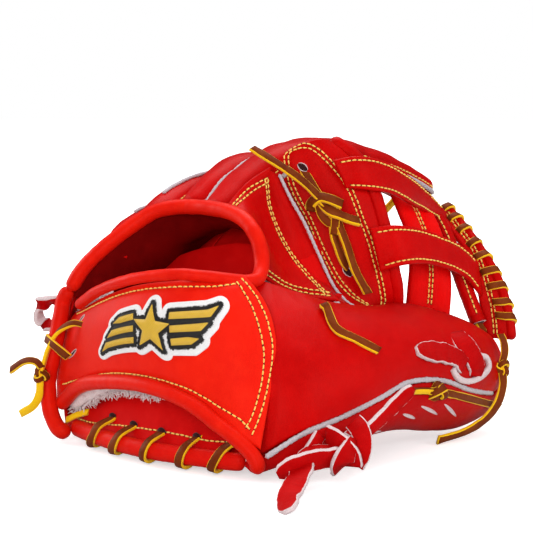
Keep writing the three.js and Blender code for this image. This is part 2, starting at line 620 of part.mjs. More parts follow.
// ---- Bindings and rolls
add('heel_binding', 'root', rod(
  HEEL_LINE.filter((_, i) => i % 5 === 0 || i === HEEL_LINE.length - 1),
  { radius: HEEL_R, steps: 12 },
), FINISH.heelBinding);
add('back_opening_binding', 'root', rod([[-86,10,90],[-80,16,105],[-70,24,119],[-60,36,131],
  [-50,46,140],[-40,52,143],[-30,56,144],[-12,57,144],[5,56,142],[16,55,138],[25,53,132],
  [31,52,124],[35,50,115],[38,46,108]], { radius: RIM_R, steps: 16 }), FINISH.roll);
add('strap_lower_roll', 'root', footed(rod([[-88,0,24],[-64,-5,35],[-38,-10,43],[1,-13,47],
  [34,-11,42],[55,-7,31],[69,-3,22],[77,-1,14],[79,0,6],[79,0,-4]],
{ radius: ROLL_R, steps: 14 })), FINISH.roll);
add('strap_upper_binding', 'root', rod([[-76,6,82],[-48,-1,95],[-17,-4,105],[13,0,110],
  [33,14,111],[38,27,112]], { radius: 2.6, steps: 10 }), FINISH.roll);
add('little_side_roll', 'root', footed(rod([[-88,8,88],[-93,1,72],[-96,-3,52],[-96,-5,32],
  [-91,-5,16],[-86,-3,6],[-86,-3,-4]], { radius: ROLL_R + 0.6, steps: 10 })), FINISH.roll);

// ---- Welts: thin piping along the seams
function addWelt(name, body, points, radius, steps) {
  add(name, body, rod(points, { radius, sides: 5, steps }), FINISH.welt);
}
const GUSSET_WELT_R = 1.1;
const FINGER_WELT_R = 1.2;
addWelt('thumb_welt', 'thumb', [[82,6,18], ...THUMB_WELT.slice(1, 8)], 1.5, 16);
addWelt('gusset_welt', 'root', [[8.5,94,160.6],[14.9,97.7,145.7],[22.9,101.3,131],
  [30.9,105,112.6],[38.9,108.7,94.9],[46,112.3,85.5],[51.5,116,81.4]], GUSSET_WELT_R, 10);
addWelt('gusset_lower_welt', 'root', [[24.1,56,104.8],[33.9,66,96.5],[46,76,90.2],
  [52.8,86,87.4],[55.1,96,87.1]], GUSSET_WELT_R, 8);
addWelt('index_middle_welt', 'root', [[-31,62,146],[-30,78,157],[-29,96,167],[-27,116,171],
  [-24,140,172],[-21,165,167],[-18,192,157],[-15,214,146]], FINGER_WELT_R, 10);
addWelt('middle_ring_welt', 'root', [[-58,62,144],[-60,78,155],[-60.5,96,163],[-60.5,116,166],
  [-59,140,161.5],[-56,165,151]], FINGER_WELT_R, 8);
addWelt('ring_little_welt', 'outer', [[-81,60,132],[-87,76,138],[-92,94,139],[-96,114,133],
  [-96,136,121]], FINGER_WELT_R, 8);

// ---- Wrist strap, with the emblem patch outside and fleece inside
add('emblem_patch', 'root', sheet(patch(STRAP, 5, 6, [0.24, 0.78], [0.24, 0.74]),
  { thickness: PATCH, outset: PATCH_RISE }), FINISH.emblem);
add('wrist_strap', 'root', sheet(patch(STRAP, 5, 9, [0.04, 0.93], [0.03, 0.97]),
  { thickness: SHELL }), FINISH.strap);
add('strap_fleece', 'root', sheet(patch(STRAP, 4, 7, [0.08, 0.92], [0.06, 0.86]),
  { thickness: FLEECE, outset: -SHELL - FLEECE_SPACE }), FINISH.fleece);

// ---- Thumb
add('thumb_back_shell', 'thumb', sheet(patch(THUMB_BACK, 9, 5, [0.015, 1], [0, 0.955]),
  { thickness: SHELL }), FINISH.shell);
add('thumb_front_shell', 'thumb', sheet(patch(THUMB_FRONT, 9, 6, [0.015, 1], [0.09, 1]),
  { thickness: SHELL }), FINISH.palm);

// Loops round the thumb, drawn in towards their centres.
function thumbLoops(inset) {
  const loops = [];
  for (let k = 2; k <= 9; k++) {
    const u = (k / 10) * 7.6;
    const at = (table, j) => vec(splineAt(table.map((row) => row[j]), u));
    const loop = [];
    for (let j = 0; j < 6; j++) loop.push(at(THUMB_BACK, j));
    for (let j = 1; j < 6; j++) loop.push(at(THUMB_FRONT, j));
    const centre = new THREE.Vector3();
    for (const p of loop) centre.addScaledVector(p, 1 / loop.length);
    loops.push(loop.map((p) => {
      const inward = centre.clone().sub(p);
      return p.clone().addScaledVector(inward, Math.min(0.8, inset / inward.length()));
    }));
  }
  return loops;
}
add('thumb_lining', 'thumb', {
  solid: toSolid(cup(thumbLoops(6.5), thumbLoops(8.2))),
  grown: toSolid(cup(thumbLoops(6.0), thumbLoops(8.7))),
}, FINISH.lining);

// ---- Web
// Moves points away from a distant point on the thumb and heel side, by d thousandths of the
// distance to it.
const FAR_POINT = [720, -694, 245];
const away = (line, d) => line.map((p) => p.map((x, i) => x + (FAR_POINT[i] - x) * (-d / 1000)));

for (const [place, table] of Object.entries(POSTS)) {
  add(`web_post_${place}`, 'root', sheet(patch(table, 4, 10, [0, 1], [0.02, 0.95]),
    { thickness: POST }), FINISH.web);
}
add('web_cross_middle', 'root', sheet(
  patch(CROSS_MIDDLE.map((line) => away(line, 9)), 3, 8, [0, 1], [0, 0.98]),
  { thickness: CROSS_T },
), FINISH.web);
add('web_cross_outer', 'root', rod(CROSS_OUTER.map(([x, y, z]) => [x - 3, y - 6, z]),
  { radius: 5, steps: 6 }), FINISH.web);
add('web_edge_strip', 'root', sheet(patch(WEB_EDGE, 3, 9),
  { thickness: WEB_EDGE_T, outset: WEB_EDGE_T / 2 }), FINISH.shell);
// Panel and the roll along its fingertip-side edge.
add('web_base_panel', 'root', join(
  sheet(patch(WEB_BASE, 5, 8, [0.02, 0.97]), { thickness: WEB_BASE_T }),
  rod(away(WEB_BASE[3], 4), { radius: 4.8, steps: 7 }),
), FINISH.shell);

// ---- Back of the fingers and side of the hand
for (const [name, finger] of Object.entries(FINGERS)) {
  add(`${name}_back_shell`, finger.body, stallShell(finger, BACK_ARC), FINISH.shell);
}
add('index_gusset', 'root', sheet(patch(GUSSET, 5, 5, [0, 0.97], [0, 0.97]),
  { thickness: SHELL }), FINISH.shell);
add('little_side_shell', 'root', sheet(patch(LITTLE_SIDE, 4, 6), { thickness: SHELL }),
  FINISH.shell);

// ---- Palm, split where the two outer fingers fold, each part joined to its finger fronts
function addPalmShells() {
  const full = sheet(patch(PALM, 7, 9, [0.11, 1], [0.02, 0.95]), { thickness: SHELL, flip: true });
  const [splitX, splitY] = [-53, 80];
  const corner = block([-140, splitX], [splitY, 160], [0, 200]);
  const cornerInset = block([-140, splitX - 1.2], [splitY + 2, 160], [0, 200]);
  const { index, middle, ring, little } = FINGERS;
  const front = (finger) => stallShell(finger, FRONT_ARC);
  const inner = { solid: full.solid.subtract(corner), grown: full.grown.subtract(corner) };
  const outer = { solid: full.solid.intersect(cornerInset), grown: full.grown.intersect(corner) };
  add('palm_shell', 'root', join(inner, front(index), front(middle)), FINISH.palm);
  add('outer_palm_shell', 'outer', join(outer, front(ring), front(little)), FINISH.palm);
}
addPalmShells();

// ---- Finger linings, padding and palm lining
for (const [name, finger] of Object.entries(FINGERS)) {
  add(`${name}_lining`, finger.body, stallLining(finger), FINISH.lining);
}
const PADDING_OUTSET = -SHELL - PADDING_SPACE;
for (const [side, span] of [['thumb', [0.72, 0.92]], ['little', [0.08, 0.28]]]) {
  add(`${side}_heel_pad`, 'root', sheet(patch(PALM, 4, 3, [0.14, 0.42], span),
    { thickness: PAD, flip: true, outset: PADDING_OUTSET }), FINISH.felt);
}
add('palm_felt', 'root', sheet(patch(PALM, 5, 5, [0.1, 0.68], [0.32, 0.68]),
  { thickness: FELT, flip: true, outset: PADDING_OUTSET }), FINISH.felt);
add('palm_lining', 'root', sheet(patch(PALM, 6, 6, [0.07, 0.72], [0.1, 0.9]),
  { thickness: LINER, flip: true, outset: -SHELL - PALM_LINER_DEPTH }), FINISH.lining);

// ---------------------------------------------------------------- clearances
function boxesMeet(solidA, solidB) {
  const a = solidA.boundingBox();
  const b = solidB.boundingBox();
  return [0, 1, 2].every((i) => a.min[i] <= b.max[i] + 0.5 && b.min[i] <= a.max[i] + 0.5);
}

function turned(solid, axis, degrees) {
  const p = vec(axis[0]);
  const direction = vec(axis[1]).sub(p).normalize();
  const matrix = new THREE.Matrix4().makeTranslation(p.x, p.y, p.z)
    .multiply(new THREE.Matrix4().makeRotationAxis(direction, (degrees * Math.PI) / 180))
    .multiply(new THREE.Matrix4().makeTranslation(-p.x, -p.y, -p.z));
  return solid.transform(matrix.elements);
}

// Positions of a solid on one body as seen from another, over the joint's range.
// The two turning bodies are not cut from each other.
function positionsSeen(fromBody, body, solid) {
  if (fromBody === body) return [solid];
  if (fromBody !== 'root' && body !== 'root') return [];
  const { axis, max } = MOVES[fromBody === 'root' ? body : fromBody];
  const sign = fromBody === 'root' ? 1 : -1;
  return Array.from({ length: TURN_STEPS + 1 },
    (_, i) => turned(solid, axis, sign * max * (i / TURN_STEPS)));
}

const largest = (solid) => solid.decompose().sort((a, b) => b.volume() - a.volume())[0];

function reweld(solid) {
  const mesh = solid.getMesh();
  return toSolid(fromArrays(Array.from(mesh.vertProperties), Array.from(mesh.triVerts)), 1e-3);
}

// The largest body, with nearly flat slivers removed wherever that leaves one clean closed body.
function tidy(solid, coarse, isClear) {
  const body = largest(solid);
  for (const tolerance of [coarse, coarse / 2, coarse / 4, coarse / 8, coarse / 16, 0.002]) {
    // Welding may leave a surface that is not closed, which throws; a finer tolerance follows.
    try {
      let simple = largest(body.simplify(tolerance));
      for (let k = 0; k < 3; k++) simple = largest(reweld(simple));
      const bits = reweld(simple).decompose();
      if (bits.length === 1 && bits[0].volume() > 0 && isClear(simple)) return simple;
    } catch {
      continue;
    }
  }
  return body;
}

// Cuts a piece clear of the earlier ones, then tidies it without letting it touch them.
function finish(piece, earlier) {
  let solid = piece.solid;
  for (const other of earlier) {
    for (const grown of positionsSeen(piece.body, other.body, other.grown)) {
      if (boxesMeet(solid, grown)) solid = solid.subtract(grown);
    }
  }
  const isClear = (s) => earlier.every((other) => (
    positionsSeen(piece.body, other.body, other.final)
      .every((o) => !boxesMeet(s, o) || s.intersect(o).volume() < 0.002)));
  return tidy(solid, /lace|thong/.test(piece.name) ? 0.05 : 0.25, isClear);
}

function toMesh({ name, finish: { color, roughness }, final }) {
  const { vertProperties, triVerts } = final.getMesh();
  const geometry = fromArrays(vertProperties, Array.from(triVerts));
  geometry.computeVertexNormals();
  const material = new THREE.MeshStandardMaterial({ color, roughness, metalness: 0 });
  const mesh = new THREE.Mesh(geometry, material);
  mesh.name = name;
  mesh.position.set(-FOOT[0], -FOOT[1], -FOOT[2]);
  return mesh;
}

const group = new THREE.Group();
pieces.forEach((piece, i) => {
  piece.final = finish(piece, pieces.slice(0, i));
  group.add(toMesh(piece));
});

export default group;
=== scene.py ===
# A leather ball glove lying palm down on the floor.
# Control points are in millimetres from the middle of the heel: x runs towards the thumb, y towards
# the fingertips and z up, away from the palm. to_world() turns them into the frame's metres.
import json
import math

import bpy
import numpy as np
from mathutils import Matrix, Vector
from mathutils.bvhtree import BVHTree


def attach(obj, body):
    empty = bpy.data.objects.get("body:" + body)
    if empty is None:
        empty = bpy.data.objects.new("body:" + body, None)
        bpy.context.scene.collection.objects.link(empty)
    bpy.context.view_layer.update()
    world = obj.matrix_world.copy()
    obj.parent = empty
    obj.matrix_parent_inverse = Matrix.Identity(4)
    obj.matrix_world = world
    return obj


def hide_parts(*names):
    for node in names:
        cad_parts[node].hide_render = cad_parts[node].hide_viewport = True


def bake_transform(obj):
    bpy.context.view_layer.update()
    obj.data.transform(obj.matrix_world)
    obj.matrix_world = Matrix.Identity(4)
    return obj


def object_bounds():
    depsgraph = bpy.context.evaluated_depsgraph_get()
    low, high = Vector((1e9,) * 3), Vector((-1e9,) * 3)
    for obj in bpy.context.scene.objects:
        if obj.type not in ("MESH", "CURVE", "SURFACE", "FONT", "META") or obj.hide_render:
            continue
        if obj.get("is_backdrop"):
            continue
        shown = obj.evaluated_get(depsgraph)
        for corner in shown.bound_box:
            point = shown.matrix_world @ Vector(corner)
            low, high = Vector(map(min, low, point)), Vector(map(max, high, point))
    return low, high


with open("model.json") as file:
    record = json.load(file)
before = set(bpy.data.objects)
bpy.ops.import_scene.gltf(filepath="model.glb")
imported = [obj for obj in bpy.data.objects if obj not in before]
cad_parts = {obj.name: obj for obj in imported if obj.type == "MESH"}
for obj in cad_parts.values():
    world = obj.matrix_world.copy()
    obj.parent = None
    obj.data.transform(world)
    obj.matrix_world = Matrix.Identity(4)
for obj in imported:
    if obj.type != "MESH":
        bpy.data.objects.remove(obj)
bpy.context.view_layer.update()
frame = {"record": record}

# The bodies that the pieces ride on
GLOVE, THUMB, OUTER = "glove_body", "thumb", "outer_fingers"

FOOT = np.array([79.0, 0.0, 0.0])   # the thumb-side heel foot, where the frame's origin lies
ANCHOR = np.array([mount for mount in frame["record"]["mounts"]
                   if mount["name"] == "thumb_heel_foot"][0]["pos_m"], float)

CAMERA = np.array([720.4, -694.0, 244.6])
TARGET = np.array([-6.348, 99.114, 102.932])

rng = np.random.default_rng(7)


def to_world(point):
    return ANCHOR + (np.asarray(point, float) - FOOT) * 0.001


def unit(a):
    return a / np.maximum(np.linalg.norm(a, axis=-1, keepdims=True), 1e-9)


# The camera's directions
VIEW = unit(TARGET - CAMERA)
RIGHT = unit(np.cross(VIEW, [0, 0, 1.0]))
UP = np.cross(RIGHT, VIEW)


def path(*values):
    """Points of a line from flat x,y,z triplets."""
    return np.array(values, float).reshape(-1, 3)


def grid(rows, *values):
    """A control grid from flat x,y,z triplets, row by row."""
    return np.array(values, float).reshape(rows, -1, 3)


# ------------------------------------------------------------------ splines
def weights(count, t):
    """Catmull-Rom weights, len(t) by count, for t in 0..count-1."""
    t = np.clip(np.atleast_1d(np.asarray(t, float)), 0, count - 1)
    left = np.minimum(t.astype(int), count - 2)
    f = t - left
    padded = np.zeros((len(t), count + 2))
    terms = (-f + 2 * f**2 - f**3, 2 - 5 * f**2 + 3 * f**3, f + 4 * f**2 - 3 * f**3, -f**2 + f**3)
    for k, term in enumerate(terms):
        padded[np.arange(len(t)), left + k] += 0.5 * term
    # the points beyond both ends are extrapolated
    out = padded[:, 1:-1].copy()
    out[:, 0] += 2 * padded[:, 0]
    out[:, 1] -= padded[:, 0]
    out[:, -1] += 2 * padded[:, -1]
    out[:, -2] -= padded[:, -1]
    return out


def curve_at(points, t):
    points = np.asarray(points, float)
    return weights(len(points), np.asarray(t) * (len(points) - 1)) @ points


def curve(points, count):
    return curve_at(points, np.linspace(0, 1, count))


def arc(line):
    """Distance along a line at each of its points."""
    return np.r_[0, np.cumsum(np.linalg.norm(np.diff(line, axis=0), axis=1))]


def interp_rows(at, known, rows):
    return np.stack([np.interp(at, known, column) for column in np.asarray(rows, float).T], 1)


def stretch(values, count):
    """Numbers or vectors spread linearly over count stations."""
    values = np.asarray(values, float)
    at, known = np.linspace(0, 1, count), np.linspace(0, 1, len(values))
    return np.interp(at, known, values) if values.ndim == 1 else interp_rows(at, known, values)


def resample(points, step=None, count=None):
    """Smooth curve through the points with even spacing."""
    dense = curve(points, max(len(points) * 15, 80))
    along = arc(dense)
    if count is None:
        count = max(2, int(round(along[-1] / step)) + 1)
    return interp_rows(np.linspace(0, along[-1], count), along, dense)


def tensor(control, us, vs):
    """Points of a control grid at every pair of us and vs."""
    rows, columns = control.shape[:2]
    return np.einsum("ua,abk,vb->uvk", weights(rows, np.asarray(us) * (rows - 1)), control,
                     weights(columns, np.asarray(vs) * (columns - 1)))


def scatter(control, uv):
    """Points of a control grid at a list of (u, v)."""
    uv = np.asarray(uv, float)
    rows, columns = control.shape[:2]
    return np.einsum("na,abk,nb->nk", weights(rows, uv[:, 0] * (rows - 1)), control,
                     weights(columns, uv[:, 1] * (columns - 1)))


def scatter_row(control, u, vs):
    return scatter(control, [(u, v) for v in vs])


def grid_normals(points):
    return unit(np.cross(np.gradient(points, axis=0), np.gradient(points, axis=1)))


# ------------------------------------------------------------------ noise
def vnoise(points, seed=0):
    """Smooth value noise, -1..1, on (..., 3) points."""
    points = np.asarray(points, float)
    cell = np.floor(points).astype(np.int64)
    f = points - cell
    f = f * f * f * (f * (f * 6 - 15) + 10)

    def corner(dx, dy, dz):
        n = ((cell[..., 0] + dx) * 374761393 + (cell[..., 1] + dy) * 668265263
             + (cell[..., 2] + dz) * 362437 + seed * 69069) & 0xFFFFFFFF
        n = ((n ^ (n >> 13)) * 1274126177) & 0xFFFFFFFF
        n = ((n ^ (n >> 15)) * 2246822519) & 0xFFFFFFFF
        return ((n ^ (n >> 16)) & 0xFFFF) / 32767.5 - 1

    def mix(a, b, k):
        return a + (b - a) * k

    def layer(dz):
        near = mix(corner(0, 0, dz), corner(1, 0, dz), f[..., 0])
        far = mix(corner(0, 1, dz), corner(1, 1, dz), f[..., 0])
        return mix(near, far, f[..., 1])

    return mix(layer(0), layer(1), f[..., 2])


def fbm(points, seed):
    """Three octaves of value noise."""
    return sum(vnoise(np.asarray(points) * 2**k, seed + k) / 2**k for k in range(3)) / 1.75


def noise_along(along, y, seed):
    return vnoise(np.stack([along, along * 0 + y, along * 0], 1), seed)


# ------------------------------------------------------------------ meshes
class Bag:
    """Vertices, faces and material slots of one piece, gathered in millimetres."""

    def __init__(self):
        self.vertices, self.faces, self.slots, self.count = [], [], [], 0

    def add(self, vertices, faces, slot=0):
        vertices = np.asarray(vertices, float).reshape(-1, 3)
        self.vertices.append(vertices)
        self.faces.extend([[int(i) + self.count for i in face] for face in faces])
        self.slots.extend([slot] * len(faces) if np.isscalar(slot) else list(slot))
        self.count += len(vertices)
        return self

    def join(self, other):
        self.vertices.extend(other.vertices)
        self.faces.extend([[i + self.count for i in face] for face in other.faces])
        self.slots.extend(other.slots)
        self.count += other.count
        return self

    def points(self):
        return np.concatenate(self.vertices)

    def bvh(self):
        return BVHTree.FromPolygons([tuple(p) for p in self.points()], self.faces)


PIECES = {}


def piece(name, bag, materials, body, nodes=()):
    mesh = bpy.data.meshes.new(name)
    mesh.from_pydata([tuple(p) for p in to_world(bag.points())], [], bag.faces)
    mesh.polygons.foreach_set("material_index", bag.slots)
    mesh.polygons.foreach_set("use_smooth", [True] * len(mesh.polygons))
    for material in materials:
        mesh.materials.append(material)
    mesh.validate()
    mesh.update()
    built = bpy.data.objects.new(name, mesh)
    bpy.context.scene.collection.objects.link(built)
    if body:
        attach(built, body)
    if nodes:
        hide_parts(*nodes)
    PIECES[name] = built
    return built


def stations(size, count, close=1.4, low=True, high=True):
    """Parameters 0..1 along size mm: even, but crowded within close mm of the chosen ends."""
    crowd = np.array([0, 0.12, 0.35, 0.65, 1.0]) * close / size
    out = np.linspace(crowd[-1] if low else 0, 1 - (crowd[-1] if high else 0), count)
    if low:
        out = np.r_[crowd[:-1], out]
    if high:
        out = np.r_[out, 1 - crowd[:-1][::-1]]
    return out


def span_stations(span, size, count, close, **ends):
    return span[0] + (span[1] - span[0]) * stations(size, count, close, **ends)


def border_distance(points, joined=""):
    """Distance of each grid point from the border; the joined side, v0 or v1, does not count."""
    rows, columns = points.shape[:2]
    down = np.concatenate([np.zeros((1, columns)),
                           np.cumsum(np.linalg.norm(np.diff(points, axis=0), axis=2), 0)])
    across = np.concatenate([np.zeros((rows, 1)),
                             np.cumsum(np.linalg.norm(np.diff(points, axis=1), axis=2), 1)], 1)
    distance = np.minimum(down, down[-1:] - down)
    if joined != "v0":
        distance = np.minimum(distance, across)
    if joined != "v1":
        distance = np.minimum(distance, across[:, -1:] - across)
    return distance


def sheet(points, normals, thick, offset=0.0, raised=0.0, shift=0.0, joined=""):
    """A closed sheet with rounded edges over a grid of points and outward normals.

    The outer face lies offset mm out. raised moves only the outer face, shift the whole sheet.
    Slot 0 is the outer face and rim, slot 1 the inner face.
    """
    rows, columns = points.shape[:2]
    near = np.minimum(border_distance(points, joined) / (thick * 0.55), 1)
    full = np.sqrt(np.clip(1 - (1 - near) ** 2, 0, 1)) * 0.82 + 0.18
    middle = offset - thick / 2 + shift
    outer = points + normals * (middle + thick / 2 * full + raised * full)[..., None]
    inner = points + normals * (middle - thick / 2 * full)[..., None]
    total = rows * columns
    index = np.arange(total).reshape(rows, columns)
    a, b = index[:-1, :-1].ravel(), index[1:, :-1].ravel()
    c, d = index[1:, 1:].ravel(), index[:-1, 1:].ravel()
    top = np.stack([a, b, c, d], 1)
    low = np.stack([a, d, c, b], 1) + total
    loop = np.r_[index[0, :-1], index[:-1, -1], index[-1, :0:-1], index[:0:-1, 0]]
    after = np.roll(loop, -1)
    rim = np.stack([loop, after, after + total, loop + total], 1)
    faces = np.concatenate([top, low, rim])
    if (grid_normals(points) * normals).sum() <= 0:
        faces = faces[:, ::-1]
    slots = [0] * len(top) + [1] * len(low) + [0] * len(rim)
    return Bag().add(np.concatenate([outer.reshape(-1, 3), inner.reshape(-1, 3)]), faces, slots)


def carried_up(tangents, up):
    """An up direction carried along a line without twisting."""
    ups = np.zeros_like(tangents)
    up = np.array(up, float)
    for i, tangent in enumerate(tangents):
        up = up - tangent * (up @ tangent)
        if np.linalg.norm(up) < 1e-6:
            up = np.cross(tangent, [1, 0.3, 0.2])
        up = up / np.linalg.norm(up)
        ups[i] = up
    return ups


def across(directions, tangents):
    """Directions made square to the tangents."""
    return unit(directions - tangents * (directions * tangents).sum(1, keepdims=True))


def sweep(line, profile, up=(0, 0, 1), scale=None, twist=None, slot=0, cap_slot=None,
          facing=None, jitter=None):
    """Sweeps a closed (k,2) or (n,k,2) profile along a line, with capped ends.

    slot is one number or one per profile side. facing gives the profile's up at each point.
    jitter maps the surface points to how far each moves outwards.
    """
    count = len(line)
    tangents = unit(np.gradient(line, axis=0))
    ups = carried_up(tangents, up) if facing is None else across(facing, tangents)
    sides = np.cross(tangents, ups)
    profile = np.asarray(profile, float)
    if profile.ndim == 2:
        profile = np.repeat(profile[None], count, 0)
    if scale is not None:
        profile = profile * np.asarray(scale, float).reshape(count, 1, -1)
    if twist is not None:
        c, s = np.cos(twist)[:, None], np.sin(twist)[:, None]
        x, y = profile[..., 0], profile[..., 1]
        profile = np.stack([x * c - y * s, x * s + y * c], -1)
    k = profile.shape[1]
    rings = line[:, None] + sides[:, None] * profile[..., :1] + ups[:, None] * profile[..., 1:]
    if jitter is not None:
        rings = rings + unit(rings - line[:, None]) * jitter(rings)[..., None]
    index = np.arange(count * k).reshape(count, k)
    a, b = index[:-1], index[1:]
    walls = np.stack([a, np.roll(a, -1, 1), np.roll(b, -1, 1), b], -1).reshape(-1, 4).tolist()
    start, end = count * k, count * k + 1
    caps = [[index[0, (j + 1) % k], index[0, j], start] for j in range(k)]
    caps += [[index[-1, j], index[-1, (j + 1) % k], end] for j in range(k)]
    slots = ([slot] * k if np.isscalar(slot) else list(slot)) * (count - 1)
    slots += [slot if cap_slot is None else cap_slot] * (2 * k)
    vertices = np.concatenate([rings.reshape(-1, 3), [rings[0].mean(0), rings[-1].mean(0)]])
    return Bag().add(vertices, walls + caps, slots)


def circle(radius, sides=12):
    a = np.linspace(0, 2 * np.pi, sides, endpoint=False)
    return np.stack([np.cos(a), np.sin(a)], 1) * radius


def end_scale(line, radius):
    """Scale factors that round both ends of a tube."""
    along = arc(line)

    def rounding(distance):
        near = np.clip(distance / radius, 0, 1)
        return np.sqrt(np.clip(1 - (1 - near) ** 2, 0.02, 1))

    return np.minimum(rounding(along), rounding(along[-1] - along))


def roll(points, radius, sides=20, wrinkle=0.22, seed=0, flat=1.0, rings=0.0, factors=(1.0,)):
    """Rolled leather: a soft tube with fine gathers across it.

    flat stretches it upwards, rings sets the even gathers, factors varies the radius along it.
    """
    close = np.array([0.08, 0.25, 0.5]) * radius

    def crowd_start(line):
        tangent = unit(line[1] - line[0])
        far = np.linalg.norm(line[1:] - line[0], axis=1) > close[-1] + 0.3
        return np.concatenate([[line[0]], [line[0] + tangent * x for x in close], line[1:][far]])

    line = crowd_start(crowd_start(resample(points, 1.2))[::-1])[::-1]
    along = arc(line)
    scale = end_scale(line, radius * float(np.mean(factors))) * stretch(factors, len(line))

    def gathers(surface):
        folds = np.stack([np.repeat(along[:, None] / 2.6, sides, 1), surface[..., 2] / 9.0,
                          surface[..., 0] / 14.0], -1)
        return (fbm(surface * 0.11, seed) * wrinkle * 1.6 + vnoise(folds, seed + 3) * wrinkle * 0.7
                + rings * noise_along(along / 3.1, 0, seed + 9)[:, None])

    return sweep(line, circle(radius, sides) * np.array([1, flat]), scale=scale, jitter=gathers)


def rounded_rect(width, thick):
    """8-point rectangle, counter-clockwise from the lower left."""
    x, y = width / 2, thick / 2
    e = min(x, y) * 0.35
    return np.array([[-x + e, -y], [x - e, -y], [x, -y + e], [x, y - e],
                     [x - e, y], [-x + e, y], [-x, y - e], [-x, -y + e]])


def strip_slots(slots):
    """Slots for the sides of rounded_rect from (face, edge, back)."""
    face, edge, back = slots
    return [back, edge, edge, edge, face, edge, edge, edge]


def lace(bag, points, width=5.2, thick=2.2, facing=None, lean=25, seed=0, tip=(0.8, -0.8),
         slots=(0, 1, 2), step=1.1, fuzz=0.05, widths=(1.0,)):
    """A leather lace or thong.

    facing: where its face looks, one direction or several along it; without it the face looks at
    the camera, leaned up by lean degrees. tip: slant of each cut end in mm. slots: face, edge,
    back. fuzz: roughness in mm. widths: factors of the width along it.
    """
    if facing is None:
        angle = math.radians(lean)
        facing = -VIEW * math.cos(angle) + UP * math.sin(angle)
    line = resample(points, step)
    count = len(line)
    along = arc(line)
    wide = (1 + 0.07 * noise_along(along / 5, seed, seed)) * stretch(widths, count)
    profile = rounded_rect(width, thick)[None] * np.stack([wide, np.ones(count)], 1)[:, None]
    strip = sweep(line, profile, twist=0.16 * noise_along(along / 16, seed + 5, seed + 2),
                  slot=strip_slots(slots), cap_slot=slots[1],
                  facing=stretch(np.atleast_2d(facing), count),
                  jitter=lambda surface: fuzz * vnoise(surface / 0.9, seed + 7))
    ends = ((0, line[0] - line[1], tip[0]), (count - 1, line[-1] - line[-2], tip[1]))
    for index, outward, slant in ends:
        ring = strip.vertices[0][index * 8:(index + 1) * 8]
        side = unit(ring[2] - ring[7])
        reach = (ring - ring.mean(0)) @ side / (width / 2)
        ring += unit(outward) * slant * reach[:, None]
    bag.join(strip)


def lace_knot(bag, centre, size, width, thick, seed, turn):
    """A lace tied in a trefoil facing the camera, turned by turn radians."""
    right = RIGHT * math.cos(turn) + UP * math.sin(turn)
    up = -RIGHT * math.sin(turn) + UP * math.cos(turn)
    t = np.linspace(0, 2 * np.pi, 120)
    flat = (np.outer(np.sin(t) + 2 * np.sin(2 * t), right)
            + np.outer(np.cos(t) - 2 * np.cos(2 * t), up)) * size / 3
    line = centre + flat + np.outer(-np.sin(3 * t), -VIEW) * size / 3 * 0.75 * 1.6
    facing = unit(unit(line - centre) * 0.75 - VIEW * 0.65)
    bag.join(sweep(line, rounded_rect(width, thick), facing=facing, slot=strip_slots((0, 1, 2)),
                   cap_slot=1, jitter=lambda surface: 0.05 * vnoise(surface / 0.9, seed)))


def on_surface(bvh, points, normals, reach=14):
    """Drops points against their normals onto a surface; returns points and normals."""
    landed, facing = [], []
    for point, normal in zip(points, normals):
        hit = bvh.ray_cast(Vector(point + normal * reach), Vector(-normal), reach * 2.2)
        if hit[0] is None:
            landed.append(np.array(bvh.find_nearest(Vector(point))[0]))
            facing.append(normal)
        else:
            found = np.array(hit[1])
            landed.append(np.array(hit[0]))
            facing.append(found if found @ normal > 0 else -found)
    return np.array(landed), unit(np.array(facing))


# Stitches, mm. The tables run along one stitch from hole to hole.
STITCH_PITCH, STITCH_SIZE, STITCH_END_GAP = 3.3, 2.55, 0.6
STITCH_ALONG = np.array([-1, -0.82, -0.4, 0.0, 0.4, 0.82, 1]) * STITCH_SIZE / 2
STITCH_HEIGHT = np.array([-0.35, 0.12, 0.36, 0.42, 0.36, 0.12, -0.35])
STITCH_RADIUS = np.array([0.55, 0.85, 1.0, 1.05, 1.0, 0.85, 0.55]) * 0.46
HOLE_FACES = [[6 + j, 6 + (j + 1) % 6, (j + 1) % 6, j] for j in range(6)]
HOLE_FACES += [[0, 1, 2, 3, 4, 5], [11, 10, 9, 8, 7, 6]]


def stitches(bag, bvh, line, normals):
    """Thread stitches along a line on a surface, each going down into its own needle holes, which
    are dark plugs of painted shade.
    """
    along = arc(line)
    if along[-1] < STITCH_PITCH * 1.5:
        return
    used = along[-1] - 2 * STITCH_END_GAP
    count = int(used / STITCH_PITCH)
    centres = STITCH_END_GAP + used / count * (np.arange(count) + 0.5)
    at = (centres[:, None] + STITCH_ALONG[None]).ravel()
    landed, facing = on_surface(bvh, interp_rows(at, along, line),
                                unit(interp_rows(at, along, normals)))
    landed, facing = landed.reshape(count, 7, 3), facing.reshape(count, 7, 3)
    wander = rng.normal(0, 0.07, (count, 1, 3))
    for i in range(count):
        thread_line = landed[i] + facing[i] * STITCH_HEIGHT[:, None] + wander[i]
        chord = np.linalg.norm(thread_line[-1] - thread_line[0])
        if chord > STITCH_SIZE * 1.7 or chord < STITCH_SIZE * 0.4:
            continue
        bag.join(sweep(thread_line, circle(1, 6), up=facing[i, 3],
                       scale=STITCH_RADIUS[:, None] * np.array([[1.0, 0.9]])))
        for end in (0, 6):
            normal = facing[i, end]
            side = unit(np.cross(normal, thread_line[3] - thread_line[0] + 1e-6))
            ring = landed[i, end] + circle(0.62, 6) @ np.array([side, np.cross(normal, side)])
            # a dark plug at each end of the stitch: painted shade of the needle hole
            hole = np.concatenate([ring + normal * 0.05, ring - normal * 0.4])
            bag.add(hole, HOLE_FACES, 1)


def double_stitches(bag, bvh, line, normals, gap=2.5):
    """Two rows of stitches; gap is the sideways distance of the second."""
    stitches(bag, bvh, line, normals)
    tangents = unit(np.gradient(line, axis=0))
    stitches(bag, bvh, line + unit(np.cross(normals, tangents)) * gap, normals)


